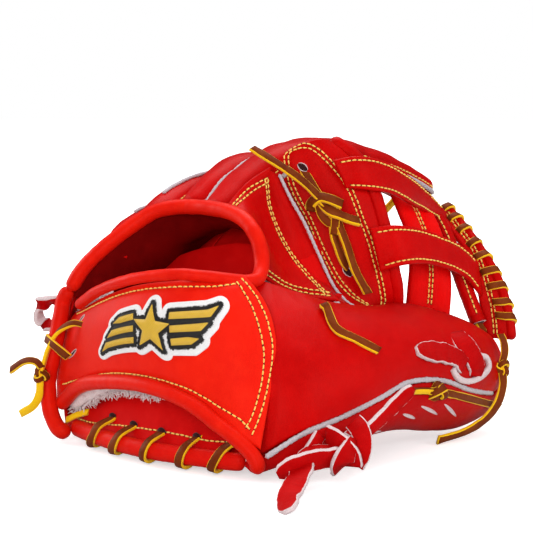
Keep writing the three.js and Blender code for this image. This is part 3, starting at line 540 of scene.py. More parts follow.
# ------------------------------------------------------------------ material parts
def material(name):
    made = bpy.data.materials.new(name)
    made.use_nodes = True
    tree = made.node_tree
    tree.nodes.clear()
    output = tree.nodes.new("ShaderNodeOutputMaterial")
    shader = tree.nodes.new("ShaderNodeBsdfPrincipled")
    tree.links.new(shader.outputs[0], output.inputs[0])
    return made, tree, shader


def object_coordinates(tree):
    return tree.nodes.new("ShaderNodeTexCoord").outputs["Object"]


def noise_texture(tree, vector, scale, detail=3, rough=0.5, distortion=0.0):
    node = tree.nodes.new("ShaderNodeTexNoise")
    node.inputs["Scale"].default_value = scale
    node.inputs["Detail"].default_value = detail
    node.inputs["Roughness"].default_value = rough
    node.inputs["Distortion"].default_value = distortion
    tree.links.new(vector, node.inputs["Vector"])
    return node.outputs["Fac"]


def ramp(tree, factor, low, high, values=(0.0, 1.0)):
    """Grey ramp from values[0] at low to values[1] at high."""
    node = tree.nodes.new("ShaderNodeValToRGB")
    for element, position, value in zip(node.color_ramp.elements, (low, high), values):
        element.position = position
        element.color = (value, value, value, 1)
    tree.links.new(factor, node.inputs[0])
    return node.outputs[0]


def mix_colour(tree, factor, first, second):
    node = tree.nodes.new("ShaderNodeMix")
    node.data_type = "RGBA"
    tree.links.new(factor, node.inputs[0])
    for socket, value in ((node.inputs[6], first), (node.inputs[7], second)):
        if isinstance(value, bpy.types.NodeSocket):
            tree.links.new(value, socket)
        else:
            socket.default_value = (*value, 1)
    return node.outputs[2]


def calculate(tree, operation, *values):
    node = tree.nodes.new("ShaderNodeMath")
    node.operation = operation
    for socket, value in zip(node.inputs, values):
        if isinstance(value, bpy.types.NodeSocket):
            tree.links.new(value, socket)
        else:
            socket.default_value = value
    return node.outputs[0]


def tinge(tree, mask, amount, first, second):
    """Mixes some of the second colour in where the mask is bright."""
    return mix_colour(tree, calculate(tree, "MULTIPLY", mask, amount), first, second)


def bump(tree, height, strength, distance, below=None):
    node = tree.nodes.new("ShaderNodeBump")
    node.inputs["Strength"].default_value = strength
    node.inputs["Distance"].default_value = distance
    tree.links.new(height, node.inputs["Height"])
    if below is not None:
        tree.links.new(below, node.inputs["Normal"])
    return node.outputs[0]


def leather(name, base, dark, light, rough=0.42, grain=1.0, edge_highlight=0.25, spec=0.20):
    """Mottled leather with pebbled grain (grain), paler on convex edges as a painted highlight
    (edge_highlight) and dark in grooves and hollows as painted shade.
    """
    made, tree, shader = material(name)
    inputs = shader.inputs
    vector = object_coordinates(tree)
    patches = noise_texture(tree, vector, scale=22, detail=3, rough=0.55)
    mottle = noise_texture(tree, vector, scale=140, detail=4, rough=0.6)
    fine = noise_texture(tree, vector, scale=1500, detail=4, rough=0.65)
    colour = mix_colour(tree, ramp(tree, patches, 0.32, 0.72), dark, base)
    colour = tinge(tree, ramp(tree, mottle, 0.45, 0.8), 0.35, colour, light)
    colour = tinge(tree, ramp(tree, fine, 0.5, 0.75), 0.16, colour, dark)
    pointed = tree.nodes.new("ShaderNodeNewGeometry").outputs["Pointiness"]
    # painted highlight: convex edges turned towards the light colour
    colour = tinge(tree, ramp(tree, pointed, 0.52, 0.60), edge_highlight, colour, light)
    # painted shade: hollows and grooves darkened towards a deep shade of the dark colour
    colour = tinge(tree, ramp(tree, pointed, 0.40, 0.49, values=(1.0, 0.0)), 0.45, colour,
                   tuple(x * 0.35 for x in dark))
    tree.links.new(colour, inputs["Base Color"])
    roughness = calculate(tree, "ADD", calculate(tree, "MULTIPLY", mottle, 0.16), rough - 0.08)
    roughness = calculate(tree, "ADD", roughness, calculate(tree, "MULTIPLY", fine, 0.06))
    tree.links.new(roughness, inputs["Roughness"])
    inputs["Specular IOR Level"].default_value = spec
    inputs["Specular Tint"].default_value = (1.0, 0.20, 0.17, 1)
    inputs["Coat Roughness"].default_value = 0.32
    # grain: warped cells, then fine noise, then soft creases
    cells = tree.nodes.new("ShaderNodeTexVoronoi")
    cells.feature = "DISTANCE_TO_EDGE"
    cells.inputs["Scale"].default_value = 780
    cells.inputs["Randomness"].default_value = 1.0
    warp = tree.nodes.new("ShaderNodeVectorMath")
    warp.operation = "ADD"
    wander = tree.nodes.new("ShaderNodeTexNoise")
    wander.inputs["Scale"].default_value = 260
    tree.links.new(vector, wander.inputs["Vector"])
    amount = tree.nodes.new("ShaderNodeVectorMath")
    amount.operation = "SCALE"
    amount.inputs[3].default_value = 0.0012
    tree.links.new(wander.outputs["Color"], amount.inputs[0])
    tree.links.new(vector, warp.inputs[0])
    tree.links.new(amount.outputs[0], warp.inputs[1])
    tree.links.new(warp.outputs[0], cells.inputs["Vector"])
    pebbles = ramp(tree, cells.outputs["Distance"], 0.0, 0.22)
    normal = bump(tree, pebbles, strength=0.20 * grain, distance=0.00025)
    normal = bump(tree, fine, strength=0.28 * grain, distance=0.00018, below=normal)
    creases = noise_texture(tree, vector, scale=95, detail=5, rough=0.62, distortion=1.2)
    normal = bump(tree, creases, strength=0.16 * grain, distance=0.0009, below=normal)
    tree.links.new(normal, inputs["Normal"])
    return made


def suede(name, base, dark, scale=1400, rough=0.9, depth=0.0005):
    """Matt fibrous surface; scale sizes the fibres, depth is their relief in metres."""
    made, tree, shader = material(name)
    vector = object_coordinates(tree)
    fibres = noise_texture(tree, vector, scale=scale, detail=5, rough=0.7)
    patches = noise_texture(tree, vector, scale=60, detail=3)
    colour = mix_colour(tree, ramp(tree, fibres, 0.35, 0.68), dark, base)
    colour = tinge(tree, patches, 0.3, colour, dark)
    tree.links.new(colour, shader.inputs["Base Color"])
    shader.inputs["Roughness"].default_value = rough
    shader.inputs["Specular IOR Level"].default_value = 0.1
    shader.inputs["Sheen Weight"].default_value = 0.12
    normal = bump(tree, fibres, strength=0.5, distance=depth)
    tree.links.new(normal, shader.inputs["Normal"])
    return made


def thread(name, base, dark, scale=2600):
    made, tree, shader = material(name)
    fibres = noise_texture(tree, object_coordinates(tree), scale=scale, detail=3, rough=0.6)
    colour = mix_colour(tree, ramp(tree, fibres, 0.36, 0.62), dark, base)
    tree.links.new(colour, shader.inputs["Base Color"])
    shader.inputs["Roughness"].default_value = 0.5
    shader.inputs["Specular IOR Level"].default_value = 0.3
    normal = bump(tree, fibres, strength=0.35, distance=0.0003)
    tree.links.new(normal, shader.inputs["Normal"])
    return made


def satin(name, base, dark):
    """Embroidery: close parallel threads."""
    made, tree, shader = material(name)
    vector = object_coordinates(tree)
    wave = tree.nodes.new("ShaderNodeTexWave")
    wave.wave_type = "BANDS"
    wave.bands_direction = "DIAGONAL"
    wave.inputs["Scale"].default_value = 420
    wave.inputs["Distortion"].default_value = 1.2
    wave.inputs["Detail"].default_value = 2
    wave.inputs["Detail Scale"].default_value = 1.5
    tree.links.new(vector, wave.inputs["Vector"])
    patches = noise_texture(tree, vector, scale=500, detail=3)
    colour = mix_colour(tree, ramp(tree, wave.outputs["Fac"], 0.1, 0.7), dark, base)
    colour = tinge(tree, ramp(tree, patches, 0.4, 0.7), 0.3, colour, dark)
    tree.links.new(colour, shader.inputs["Base Color"])
    shader.inputs["Roughness"].default_value = 0.38
    shader.inputs["Specular IOR Level"].default_value = 0.5
    normal = bump(tree, wave.outputs["Fac"], strength=0.6, distance=0.0004)
    tree.links.new(normal, shader.inputs["Normal"])
    return made


# ------------------------------------------------------------------ materials
SHELL = leather("shell_leather_red", base=(0.545, 0.0003, 0.0005), dark=(0.420, 0.0002, 0.0004),
                light=(0.64, 0.002, 0.0015), rough=0.40)
STRAP_RED = leather("strap_leather_red", base=(0.800, 0.0130, 0.0030),
                    dark=(0.680, 0.0070, 0.0020), light=(0.86, 0.024, 0.006), rough=0.46)
PALM_RED = leather("palm_leather_red", base=(0.520, 0.0010, 0.0018), dark=(0.390, 0.0006, 0.0012),
                   light=(0.60, 0.004, 0.004), rough=0.46)
BINDING = leather("binding_leather_red", base=(0.800, 0.0120, 0.0030),
                  dark=(0.640, 0.0060, 0.0020), light=(0.86, 0.024, 0.006), rough=0.36, grain=0.7)
LINING = leather("lining_leather_red", base=(0.640, 0.0030, 0.0030), dark=(0.500, 0.0015, 0.0020),
                 light=(0.72, 0.010, 0.008), rough=0.58, grain=0.6, spec=0.12)
# painted shade: a near-black copy of the lining leather, standing in for the shade inside the hand
# opening
SHADED_LINING = leather("lining_leather_painted_shade", base=(0.150, 0.0010, 0.0012),
                      dark=(0.090, 0.0006, 0.0008), light=(0.22, 0.003, 0.003), rough=0.60,
                      grain=0.6, spec=0.08)
FLESH_SIDE = suede("flesh_side_grey", base=(0.34, 0.30, 0.30), dark=(0.20, 0.17, 0.175))
PALE_EDGE = suede("thong_edge_white", base=(0.80, 0.70, 0.70), dark=(0.55, 0.40, 0.41),
                  scale=1800, rough=0.95)
THONG_RED = leather("thong_leather_red", base=(0.60, 0.0020, 0.0030), dark=(0.48, 0.0012, 0.0020),
                    light=(0.68, 0.010, 0.009), rough=0.55, grain=1.4, spec=0.12)
WELT_WHITE = suede("welt_white", base=(0.64, 0.60, 0.62), dark=(0.36, 0.31, 0.34), scale=1500,
                   rough=0.7)
HEEL_RED = leather("heel_leather_red", base=(0.800, 0.0100, 0.0040), dark=(0.680, 0.0050, 0.0025),
                   light=(0.86, 0.020, 0.007), rough=0.40)
# painted light: a brighter copy of the shell leather, standing in for light falling on the web's
# middle cross piece
LIT_WEB_RED = leather("web_leather_painted_light", base=(0.820, 0.0014, 0.0012), dark=(0.680, 0.0008, 0.0009),
                  light=(0.88, 0.007, 0.005), rough=0.42)
LACE_BROWN = leather("lace_brown", base=(0.260, 0.052, 0.0080), dark=(0.150, 0.024, 0.0040),
                     light=(0.40, 0.110, 0.022), rough=0.42, grain=1.2, edge_highlight=0.3)
LACE_YELLOW = suede("lace_edge_yellow", base=(0.96, 0.62, 0.003), dark=(0.80, 0.44, 0.002),
                    scale=1600, rough=0.6, depth=0.0003)
GOLD_THREAD = thread("stitch_thread_gold", base=(0.96, 0.70, 0.18), dark=(0.78, 0.44, 0.06))
# painted shade: dark plugs standing in for the shade in the needle holes
NEEDLE_HOLE_SHADE = suede("needle_hole_painted_shade", base=(0.20, 0.012, 0.004), dark=(0.10, 0.004, 0.002),
                    scale=900)
EMBLEM_FELT = suede("emblem_felt_white", base=(0.90, 0.89, 0.88), dark=(0.66, 0.64, 0.64),
                    scale=2200, rough=0.95, depth=0.0004)
BLACK_THREAD = thread("emblem_thread_black", base=(0.022, 0.020, 0.020),
                      dark=(0.008, 0.007, 0.007), scale=1800)
GOLD_SATIN = satin("emblem_satin_gold", base=(0.84, 0.53, 0.035), dark=(0.48, 0.26, 0.012))
FLEECE = suede("fleece_white", base=(0.92, 0.86, 0.85), dark=(0.70, 0.58, 0.58), scale=900,
               rough=1.0, depth=0.001)
PAD_FELT = suede("pad_felt", base=(0.48, 0.43, 0.37), dark=(0.30, 0.26, 0.22), scale=600,
                 rough=1.0, depth=0.001)
# painted shade: dark fill standing in for the shade inside slits, lace holes and the cut end's
# hollow
SLIT_SHADE = suede("slit_painted_shade", base=(0.05, 0.012, 0.012), dark=(0.02, 0.004, 0.004), scale=900)

SHELL_LINED, PALM_LINED = [SHELL, LINING], [PALM_RED, LINING]
SHELL_PALM = [SHELL, PALM_RED]
SLIT_LOOK = [SLIT_SHADE, PALE_EDGE]
STITCH_LOOK = [GOLD_THREAD, NEEDLE_HOLE_SHADE]
# face, edge, back
LACE_LOOK = [LACE_BROWN, LACE_YELLOW, LACE_YELLOW]
THONG_LOOK = [THONG_RED, PALE_EDGE, PALE_EDGE]


# ------------------------------------------------------------------ surfaces
class Surface:
    """A control grid whose outward side faces the point towards."""

    def __init__(self, control, towards=CAMERA):
        self.control = control
        even = np.linspace(0, 1, 20)
        points = tensor(control, even, even)
        self.sign = np.sign((grid_normals(points) * (np.asarray(towards, float) - points)).sum())
        even = np.linspace(0, 1, 30)
        points = tensor(control, even, even)
        self.length_u = np.linalg.norm(np.diff(points, axis=0), axis=2).sum(0).mean()
        self.length_v = np.linalg.norm(np.diff(points, axis=1), axis=2).sum(1).mean()

    def sample(self, us, vs):
        """A grid of points and its normals."""
        points = tensor(self.control, us, vs)
        return points, grid_normals(points) * self.sign

    def at(self, uv):
        """Points and normals at a list of (u, v)."""
        uv = np.asarray(uv, float)

        def change(delta):
            return (scatter(self.control, np.clip(uv + delta, 0, 1))
                    - scatter(self.control, np.clip(uv - delta, 0, 1)))

        normals = unit(np.cross(change([1e-3, 0]), change([0, 1e-3]))) * self.sign
        return scatter(self.control, uv), normals

    def line(self, uv, count=160):
        """Points and normals of a smooth line through (u, v) stations."""
        return self.at(np.clip(curve(uv, count), 0, 1))


def polyline_distance(points, line):
    best = np.full(len(points), 1e9)
    for start, end in zip(line[:-1], line[1:]):
        along = end - start
        t = np.clip(((points - start) @ along) / max(along @ along, 1e-9), 0, 1)
        off = np.linalg.norm(points - start - t[:, None] * along, axis=1)
        best = np.minimum(best, off)
    return best


def seam_groove(points, lines, depth=0.55, width=1.5):
    """Negative heights where the stitched lines pull the leather in."""
    groove = np.zeros(points.shape[:2])
    for line in lines:
        distance = polyline_distance(points.reshape(-1, 3), line[::max(1, len(line) // 40)])
        pulled = -(depth * np.exp(-((distance / width) ** 2)))
        groove = np.minimum(groove, pulled.reshape(groove.shape))
    return groove


def leather_sheet(name, surface, body, nodes, thick=2.4, offset=0.0, u=(0, 1), v=(0, 1),
                  step=1.6, seams=(), puff=0.0, wrinkle=0.25, wrinkle_scale=0.05, seed=0,
                  materials=SHELL_LINED, fold=None):
    """Builds a sheet of leather over part of a surface; returns its BVH.

    puff swells the middle, seams are (points, normals) lines pulled in, fold(points, us, vs)
    adds a shift of the whole sheet.
    """
    size_u, size_v = surface.length_u * (u[1] - u[0]), surface.length_v * (v[1] - v[0])
    us = span_stations(u, size_u, max(6, int(size_u / step)), thick * 0.6)
    vs = span_stations(v, size_v, max(6, int(size_v / step)), thick * 0.6)
    points, normals = surface.sample(us, vs)
    shift = fbm(points * wrinkle_scale, seed) * wrinkle
    if puff:
        shift = shift + puff * (1 - np.exp(-np.minimum(border_distance(points), 40) / 9.0))
    if fold is not None:
        shift = shift + fold(points, us, vs)
    raised = seam_groove(points, [line for line, _ in seams])
    raised = raised + 0.06 * vnoise(points / 1.7, seed + 11)
    bag = sheet(points, normals, thick, offset, raised, shift)
    piece(name, bag, materials, body, nodes)
    return bag.bvh()


def slit(bag, bvh, surface, start, end, width=1.1, slots=(0, 1)):
    """A slit between two (u, v) places, with its two cut edges; the slit itself is a dark strip of
    painted shade. slots: slit, edges.
    """
    line, facing = on_surface(bvh, *surface.line([start, end], 12))
    open_ = np.sin(np.linspace(0.06, np.pi - 0.06, len(line))) ** 0.6
    bag.join(sweep(line + facing * 0.05, circle(1, 8), up=facing[0],
                   scale=np.stack([open_ * width, open_ * 0.22], 1), slot=slots[0]))
    side = unit(np.cross(facing, unit(np.gradient(line, axis=0))))
    for k in (-1, 1):
        edge = line + side * (open_ * width * k)[:, None] + facing * 0.1
        bag.join(sweep(edge, circle(0.32, 6), up=facing[0], scale=0.4 + 0.6 * open_,
                       slot=slots[1]))


def welt(name, line, normals, radius, body, nodes, lift=1.2, seed=0):
    """Piping: a flattened cord standing a little out of a seam, waved along its length."""
    along = arc(line)
    wave = 1 + 0.12 * np.sin(along * 2 * np.pi / 3.2) + 0.12 * noise_along(along / 2, 0, seed)
    bag = sweep(line + normals * lift, circle(radius) * np.array([1.0, 0.8]), facing=normals,
                scale=wave * end_scale(line, radius),
                jitter=lambda surface: 0.06 * vnoise(surface / 0.7, seed + 2))
    piece(name, bag, [WELT_WHITE], body, nodes)


# ------------------------------------------------------------------ wrist strap
# Rows top to bottom, each from the little-finger side to the thumb side.
STRAP = grid(5,
    -88,15,77,  -48,2,92,  -17,-1,102,  13,3,107,  33,16,108,  38,30,108,
    -90,10,66,  -46,-5,78,  -14,-9,87,  16,-6,91,  42,8,92,  52,33,92,
    -91,6,52,  -43,-8,63,  -11,-12,71,  21,-9,73,  50,4,73,  64,29,74,
    -92,3,39,  -40,-9,51,  -7,-12,57,  27,-10,57,  56,0,52,  70,20,54,
    -91,2,22,  -38,-8,44,  1,-10,48,  34,-8,43,  60,-4,29.5,  77,3.5,18)
strap = Surface(STRAP)
strap_seams = [strap.line(stops) for stops in (
    # along the top edge, along the bottom edge, then two down the thumb end
    [(0.085, 0.03), (0.075, 0.2), (0.07, 0.41), (0.068, 0.61), (0.07, 0.8), (0.075, 0.905)],
    [(0.87, 0.03), (0.872, 0.13), (0.885, 0.29), (0.89, 0.46), (0.89, 0.61), (0.90, 0.75),
     (0.92, 0.85), (0.955, 0.925)],
    [(0.045, 0.905), (0.25, 0.925), (0.45, 0.935), (0.63, 0.945), (0.77, 0.943), (0.88, 0.925),
     (0.96, 0.895)],
    [(0.02, 0.95), (0.23, 0.967), (0.43, 0.975), (0.62, 0.982), (0.76, 0.98), (0.88, 0.965),
     (0.975, 0.935)])]


def smooth(t):
    return t * t * (3 - 2 * t)


def strap_lift(points, us, vs):
    """Lifts the thumb end over the thumb leather and sinks the top edge."""
    end = 4.6 * smooth(np.clip((vs - 0.72) / 0.28, 0, 1))
    return end[None, :] - 1.5 * np.clip((0.10 - us) / 0.10, 0, 1)[:, None]


strap_bvh = leather_sheet("wrist_strap_leather", strap, GLOVE, ["wrist_strap"],
                          thick=3.2, u=(0.0, 1.0), v=(0.0, 1.0), seams=strap_seams, puff=0.9,
                          wrinkle=0.5, wrinkle_scale=0.035, seed=2,
                          materials=[STRAP_RED, FLESH_SIDE], step=1.3, fold=strap_lift)
body_stitching = Bag()
for seam in strap_seams:
    stitches(body_stitching, strap_bvh, *seam)

strap_slits = Bag()
for start, end in (((0.155, 0.115), (0.235, 0.085)), ((0.50, 0.098), (0.59, 0.06))):
    slit(strap_slits, strap_bvh, strap, start, end)
piece("strap_slits", strap_slits, SLIT_LOOK, GLOVE)


# ------------------------------------------------------------------ emblem
# A star between swept bars, embroidered on felt and laid on the strap.
def polygon_distance(x, y, corners):
    """Signed distance to a polygon, negative inside."""
    points = np.stack([x, y], -1)
    distance = np.full(x.shape, 1e9)
    inside = np.zeros(x.shape, bool)
    for i, corner in enumerate(corners):
        a, b = np.array(corner, float), np.array(corners[(i + 1) % len(corners)], float)
        edge = b - a
        t = np.clip(((points - a) @ edge) / (edge @ edge), 0, 1)
        off = np.linalg.norm(points - a - t[..., None] * edge, axis=-1)
        distance = np.minimum(distance, off)
        spans = ((a[1] <= y) & (b[1] > y)) | ((b[1] <= y) & (a[1] > y))
        inside ^= spans & (x < a[0] + (y - a[1]) / (b[1] - a[1] + 1e-12) * (b[0] - a[0]))
    return np.where(inside, -distance, distance)


def fill_region(xs, ys, field, level):
    """Marching squares: points, values and faces of the region field < level."""
    field = field - level
    points, values, faces, known = [], [], [], {}

    def corner(i, j):
        if (i, j) not in known:
            known[(i, j)] = len(points)
            points.append((xs[i], ys[j]))
            values.append(field[i, j])
        return known[(i, j)]

    def crossing(first, second):
        key = (first, second) if first < second else (second, first)
        if key not in known:
            (a, b), (c, d) = key
            t = min(max(field[a, b] / (field[a, b] - field[c, d]), 0.02), 0.98)
            known[key] = len(points)
            points.append((xs[a] + t * (xs[c] - xs[a]), ys[b] + t * (ys[d] - ys[b])))
            values.append(0.0)
        return known[key]

    inside = field < 0
    for i in range(len(xs) - 1):
        for j in range(len(ys) - 1):
            square = [(i, j), (i + 1, j), (i + 1, j + 1), (i, j + 1)]
            face = []
            for k in range(4):
                a, b = square[k], square[(k + 1) % 4]
                if inside[a]:
                    face.append(corner(*a))
                if inside[a] != inside[b]:
                    face.append(crossing(a, b))
            if len(face) >= 3:
                faces.append(face)
    return np.array(points), np.array(values), faces


STAR_RADII, STAR_TURN = (14.0, 6.0), 0.10
shapes = [[(STAR_RADII[k % 2] * math.sin(k * math.pi / 5 + STAR_TURN),
            STAR_RADII[k % 2] * math.cos(k * math.pi / 5 + STAR_TURN)) for k in range(10)]]
# bars on one side, (height, far end); the other side is the same turned half round
bars = [[(13.2 - k * 0.4, y + 2.0), (far - 7, y + 3.4), (far, y + 5.2 - k * 1.2),
         (far - 5.5, y - 0.6), (12.6, y - 1.9)]
        for k, (y, far) in enumerate(((7.0, 43.5), (0.0, 37.0), (-7.0, 30.5)))]
shapes += bars + [[(-x, -y) for x, y in bar] for bar in bars]
EMBLEM_STEP, EMBLEM_HALF = 0.42, (51, 23)
emblem_x = np.arange(-EMBLEM_HALF[0], EMBLEM_HALF[0] + 0.01, EMBLEM_STEP)
emblem_y = np.arange(-EMBLEM_HALF[1], EMBLEM_HALF[1] + 0.01, EMBLEM_STEP)
emblem_field = np.min([polygon_distance(*np.meshgrid(emblem_x, emblem_y, indexing="ij"), shape)
                       for shape in shapes], 0)
BLACK_LEVEL = 1.7   # how far the black outline reaches beyond the gold

# distances along and down the strap through the emblem's middle
strap_v, strap_u = np.linspace(0, 1, 200), np.linspace(0, 1, 100)
strap_along = arc(curve(scatter_row(STRAP, 0.42, np.linspace(0, 1, 6)), 200))
strap_down = arc(scatter(STRAP, [(u, 0.53) for u in strap_u]))
emblem_along = np.interp(0.525, strap_v, strap_along)
emblem_down = np.interp(0.40, strap_u, strap_down)


def emblem_uv(flat):
    return np.stack([np.interp(emblem_down - flat[:, 1], strap_down, strap_u),
                     np.interp(emblem_along + flat[:, 0], strap_along, strap_v)], 1)


def emblem_layer(bag, level, height, base, slot, dome=0.0):
    """One layer out to a level of the field, from base to height above the strap."""
    flat, values, faces = fill_region(emblem_x, emblem_y, emblem_field, level)
    points, normals = strap.at(emblem_uv(flat))
    landed, _ = on_surface(strap_bvh, points, normals)
    depth = np.clip(-values, 0, None)
    heights = height - np.exp(-depth / 0.35) * 0.35 + dome * (1 - np.exp(-(depth / 1.4) ** 1.2))
    vertices = np.concatenate([landed + normals * heights[:, None], landed + normals * base])
    n = len(flat)
    edges = dict.fromkeys((a, b) for face in faces for a, b in zip(face, face[1:] + face[:1]))
    built = [face[::-1] for face in faces] + [[i + n for i in face] for face in faces]
    built += [[a, b, b + n, a + n] for a, b in edges if (b, a) not in edges]
    a, b, c = vertices[built[0][:3]]
    if np.cross(b - a, c - a) @ normals[built[0][0]] < 0:
        built = [face[::-1] for face in built]
    bag.add(vertices, built, slot)


emblem = Bag()
emblem_layer(emblem, level=5.2, height=1.15, base=-0.5, slot=0)
emblem_layer(emblem, level=BLACK_LEVEL, height=1.75, base=0.4, slot=1)
emblem_layer(emblem, level=0.0, height=1.95, base=0.6, slot=2, dome=0.95)
piece("emblem_embroidery", emblem, [EMBLEM_FELT, BLACK_THREAD, GOLD_SATIN], GLOVE,
      ["emblem_patch"])

# short threads across the rim of the black outline
emblem_threads = Bag()
flat, values, _ = fill_region(emblem_x, emblem_y, emblem_field, BLACK_LEVEL)
outline = flat[values == 0]
slopes = np.gradient(emblem_field, EMBLEM_STEP)
for start in outline[rng.permutation(len(outline))[:520]]:
    i, j = (min(int(round((place + half) / EMBLEM_STEP)), size - 1)
            for place, half, size in zip(start, EMBLEM_HALF, emblem_field.shape))
    outward = np.array([slopes[0][i, j], slopes[1][i, j]])
    outward = outward / (np.linalg.norm(outward) + 1e-9)
    a, b = start - outward * 0.5, start + outward * rng.uniform(0.25, 0.75)
    landed, facing = on_surface(strap_bvh, *strap.at(emblem_uv(np.array([a, (a + b) / 2, b]))))
    landed = landed + facing * np.array([[1.8], [1.75], [1.2]])
    emblem_threads.join(sweep(landed, circle(0.2, 5), up=facing[0]))
piece("emblem_threads", emblem_threads, [BLACK_THREAD], GLOVE)

# ------------------------------------------------------------------ rolled bindings of the back
# Edge of the back opening, little-finger side to thumb side
RIM = path(-86,10,90,  -80,16,105,  -70,24,119,  -60,36,131,  -50,46,140,  -40,52,143,
           -30,56,144,  -12,57,144,  5,56,142,  16,55,138,  25,53,132,  31,52,124,
           35,50,115,  38,46,108)
RIM_DROP = np.array([0, 1.5, 2.8, 2.8, 2.8, 2.8, 2.8, 2.6, 2.0, 1.2, 0.4, 0, 0])
LOWER_ROLL = path(-85,0,20.5,  -64,-5,35,  -38,-10,43,  1,-13,47,  34,-11,42,  55,-7,31,
                  69,-3,22,  77,-1,14,  79,0,6)
SIDE_ROLL = path(-86.5,10.5,91,  -92,10,83,  -91.3,7,74,  -90.1,0.5,54.6,  -91.4,-3.5,37.2,
                 -87.4,-6,19.7,  -80.1,-6.5,9.2,  -71,-5.5,6.2)
# from the rim's thumb end back along the top of the strap
STRAP_TOP_ROLL = path(37.8,46,109,  40.2,40,105.5,  39.8,31,105,  34.5,18,107.5,
                      25,7.5,109.5,  13,0,109.8,  -17,-4,104.6,  -48,-1,94.6,  -75,6.5,82)

piece("strap_lower_roll_leather", roll(LOWER_ROLL, 4.4, wrinkle=0.12, seed=4, rings=0.04),
      [BINDING], GLOVE, ["strap_lower_roll"])
piece("little_side_roll_leather", roll(SIDE_ROLL, 4.9, wrinkle=0.16, seed=6, rings=0.05),
      [BINDING], GLOVE, ["little_side_roll"])
rim_roll = RIM[:-1] - RIM_DROP[:, None] * np.array([0, 0, 1.0])
opening_roll = roll(np.concatenate([rim_roll, STRAP_TOP_ROLL]), 1.0, wrinkle=0.12, seed=7,
                    rings=0.08, sides=24, factors=[4.6] * 11 + [4.3, 3.9, 3.6, 3.4] + [3.3] * 6)
piece("back_opening_roll_leather", opening_roll, [BINDING], GLOVE,
      ["back_opening_binding", "strap_upper_binding"])

# ------------------------------------------------------------------ thumb
# Back of the thumb: stations heel to tip, each from the top edge to the welt.
THUMB_BACK = grid(9,
    35,40,107,  48.6,30.1,91.4,  59.9,21.3,74.5,  68.9,13.7,56.3,  71.5,8.5,35.5,  71,4.5,11,
    49.6,59.3,96.9,  61.0,51.0,88.3,  71.8,42.7,75.9,  80.6,35.1,61.1,  86.3,28.8,44.5,
    89,24,26,
    58.6,78.6,90.0,  69.0,72.2,84.3,  79.2,65.5,75.1,  87.8,59.1,62.9,  93.1,53.9,48.5,
    95,50,32,
    62.6,98.1,85.8,  74.0,93.2,81.6,  84.4,88.2,74.7,  92.6,83.8,65.1,  97.5,80.4,53.2,
    99,78,39,
    59,126,81.8,  71.5,121.2,79.2,  82.8,116,74.3,  92.2,111,66.9,  98.3,106.7,57.2,
    101,103,45,
    56,155,79,  71.6,149.9,76.1,  84.1,145.1,70.9,  93.5,140.5,63.5,  99.8,136.1,53.9,
    103,132,42,
    66,185,70,  79,180.6,66.7,  89.1,175.9,61.2,  96.5,170.9,53.6,  101.2,165.6,43.9,
    103,160,32,
    76,203,60,  83.7,202.9,56,  89.8,201.6,50.4,  94.2,199,43.4,  96.9,195.1,35,  98,190,25,
    85,209,50,  87.8,209.4,47.4,  90.2,209,44.4,  92.2,207.8,41,  93.8,205.8,37.2,  95,203,33)
# Front of the thumb: stations heel to tip, each from the welt round under to the palm crease.
THUMB_FRONT = grid(9,
    71,4.5,11,  72,4.5,7,  71,5,5,  68,5,5,  65,5.5,6,  62,6,7,
    89,24,26,  88,26,15,  81,28,12,  72,30,16,  63,32,24,  57,33,31,
    95,50,32,  94,54,20,  85,59,17,  72,63,27,  59,66,44,  50,67,59,
    99,78,39,  98,85,24,  87,92,18,  70,98,30,  54,102,56,  44,104,90,
    101,103,45,  101,108,27,  88,113,16,  70,118,26,  54,122,52,  46,126,79,
    103,132,42,  102,134,26,  88,138,11,  70,143,20,  56,147,46,  50,152,76,
    103,160,32,  101,162,20,  88,168,8,  74,174,17,  65,180,40,  61,184,67,
    98,190,25,  96,192,18,  88,195,14,  80,198,24,  75,200,42,  73,203,57,
    95,203,33,  94,204,31,  90,206,33,  87,207,38,  85,208,44,  85,209,50)
THUMB_OFFSET = 1.6
thumb_back = Surface(THUMB_BACK)
thumb_front = Surface(THUMB_FRONT, towards=(200, 60, -160))


def thumb_folds(points, us, vs):
    """Sinks the heel end under the strap, with soft creases beside it."""
    u = us[:, None]
    creases = vnoise(points[..., [1, 2, 0]] / np.array([11.0, 38.0, 55.0]), 21)
    broad = vnoise(points[..., [1, 2, 0]] / 30.0, 23)
    return (-3.0 * np.clip(1 - u / 0.05, 0, 1) + 1.2 * np.exp(-((u - 0.10) / 0.09) ** 2) * creases
            + 0.5 * broad)


thumb_back_bvh = leather_sheet(
    "thumb_back_leather", thumb_back, THUMB, ["thumb_back_shell"],
    offset=THUMB_OFFSET, v=(0, 0.985), puff=1.6, wrinkle=0.6, wrinkle_scale=0.03, seed=31,
    fold=thumb_folds, step=1.5)
thumb_front_bvh = leather_sheet(
    "thumb_front_leather", thumb_front, THUMB, ["thumb_front_shell"],
    offset=THUMB_OFFSET, v=(0.02, 1), puff=0.9, wrinkle=0.5, wrinkle_scale=0.035, seed=33,
    step=1.7, materials=PALM_LINED)
thumb_welt = resample(np.concatenate([path(80, 3, 15), THUMB_BACK[1:8, 5]]), 1.2)
welt("thumb_piping", thumb_welt, np.repeat(unit(path(0.75, -0.35, 0.1)), len(thumb_welt), 0), 1.5,
     THUMB, ["thumb_welt"], lift=1.4)


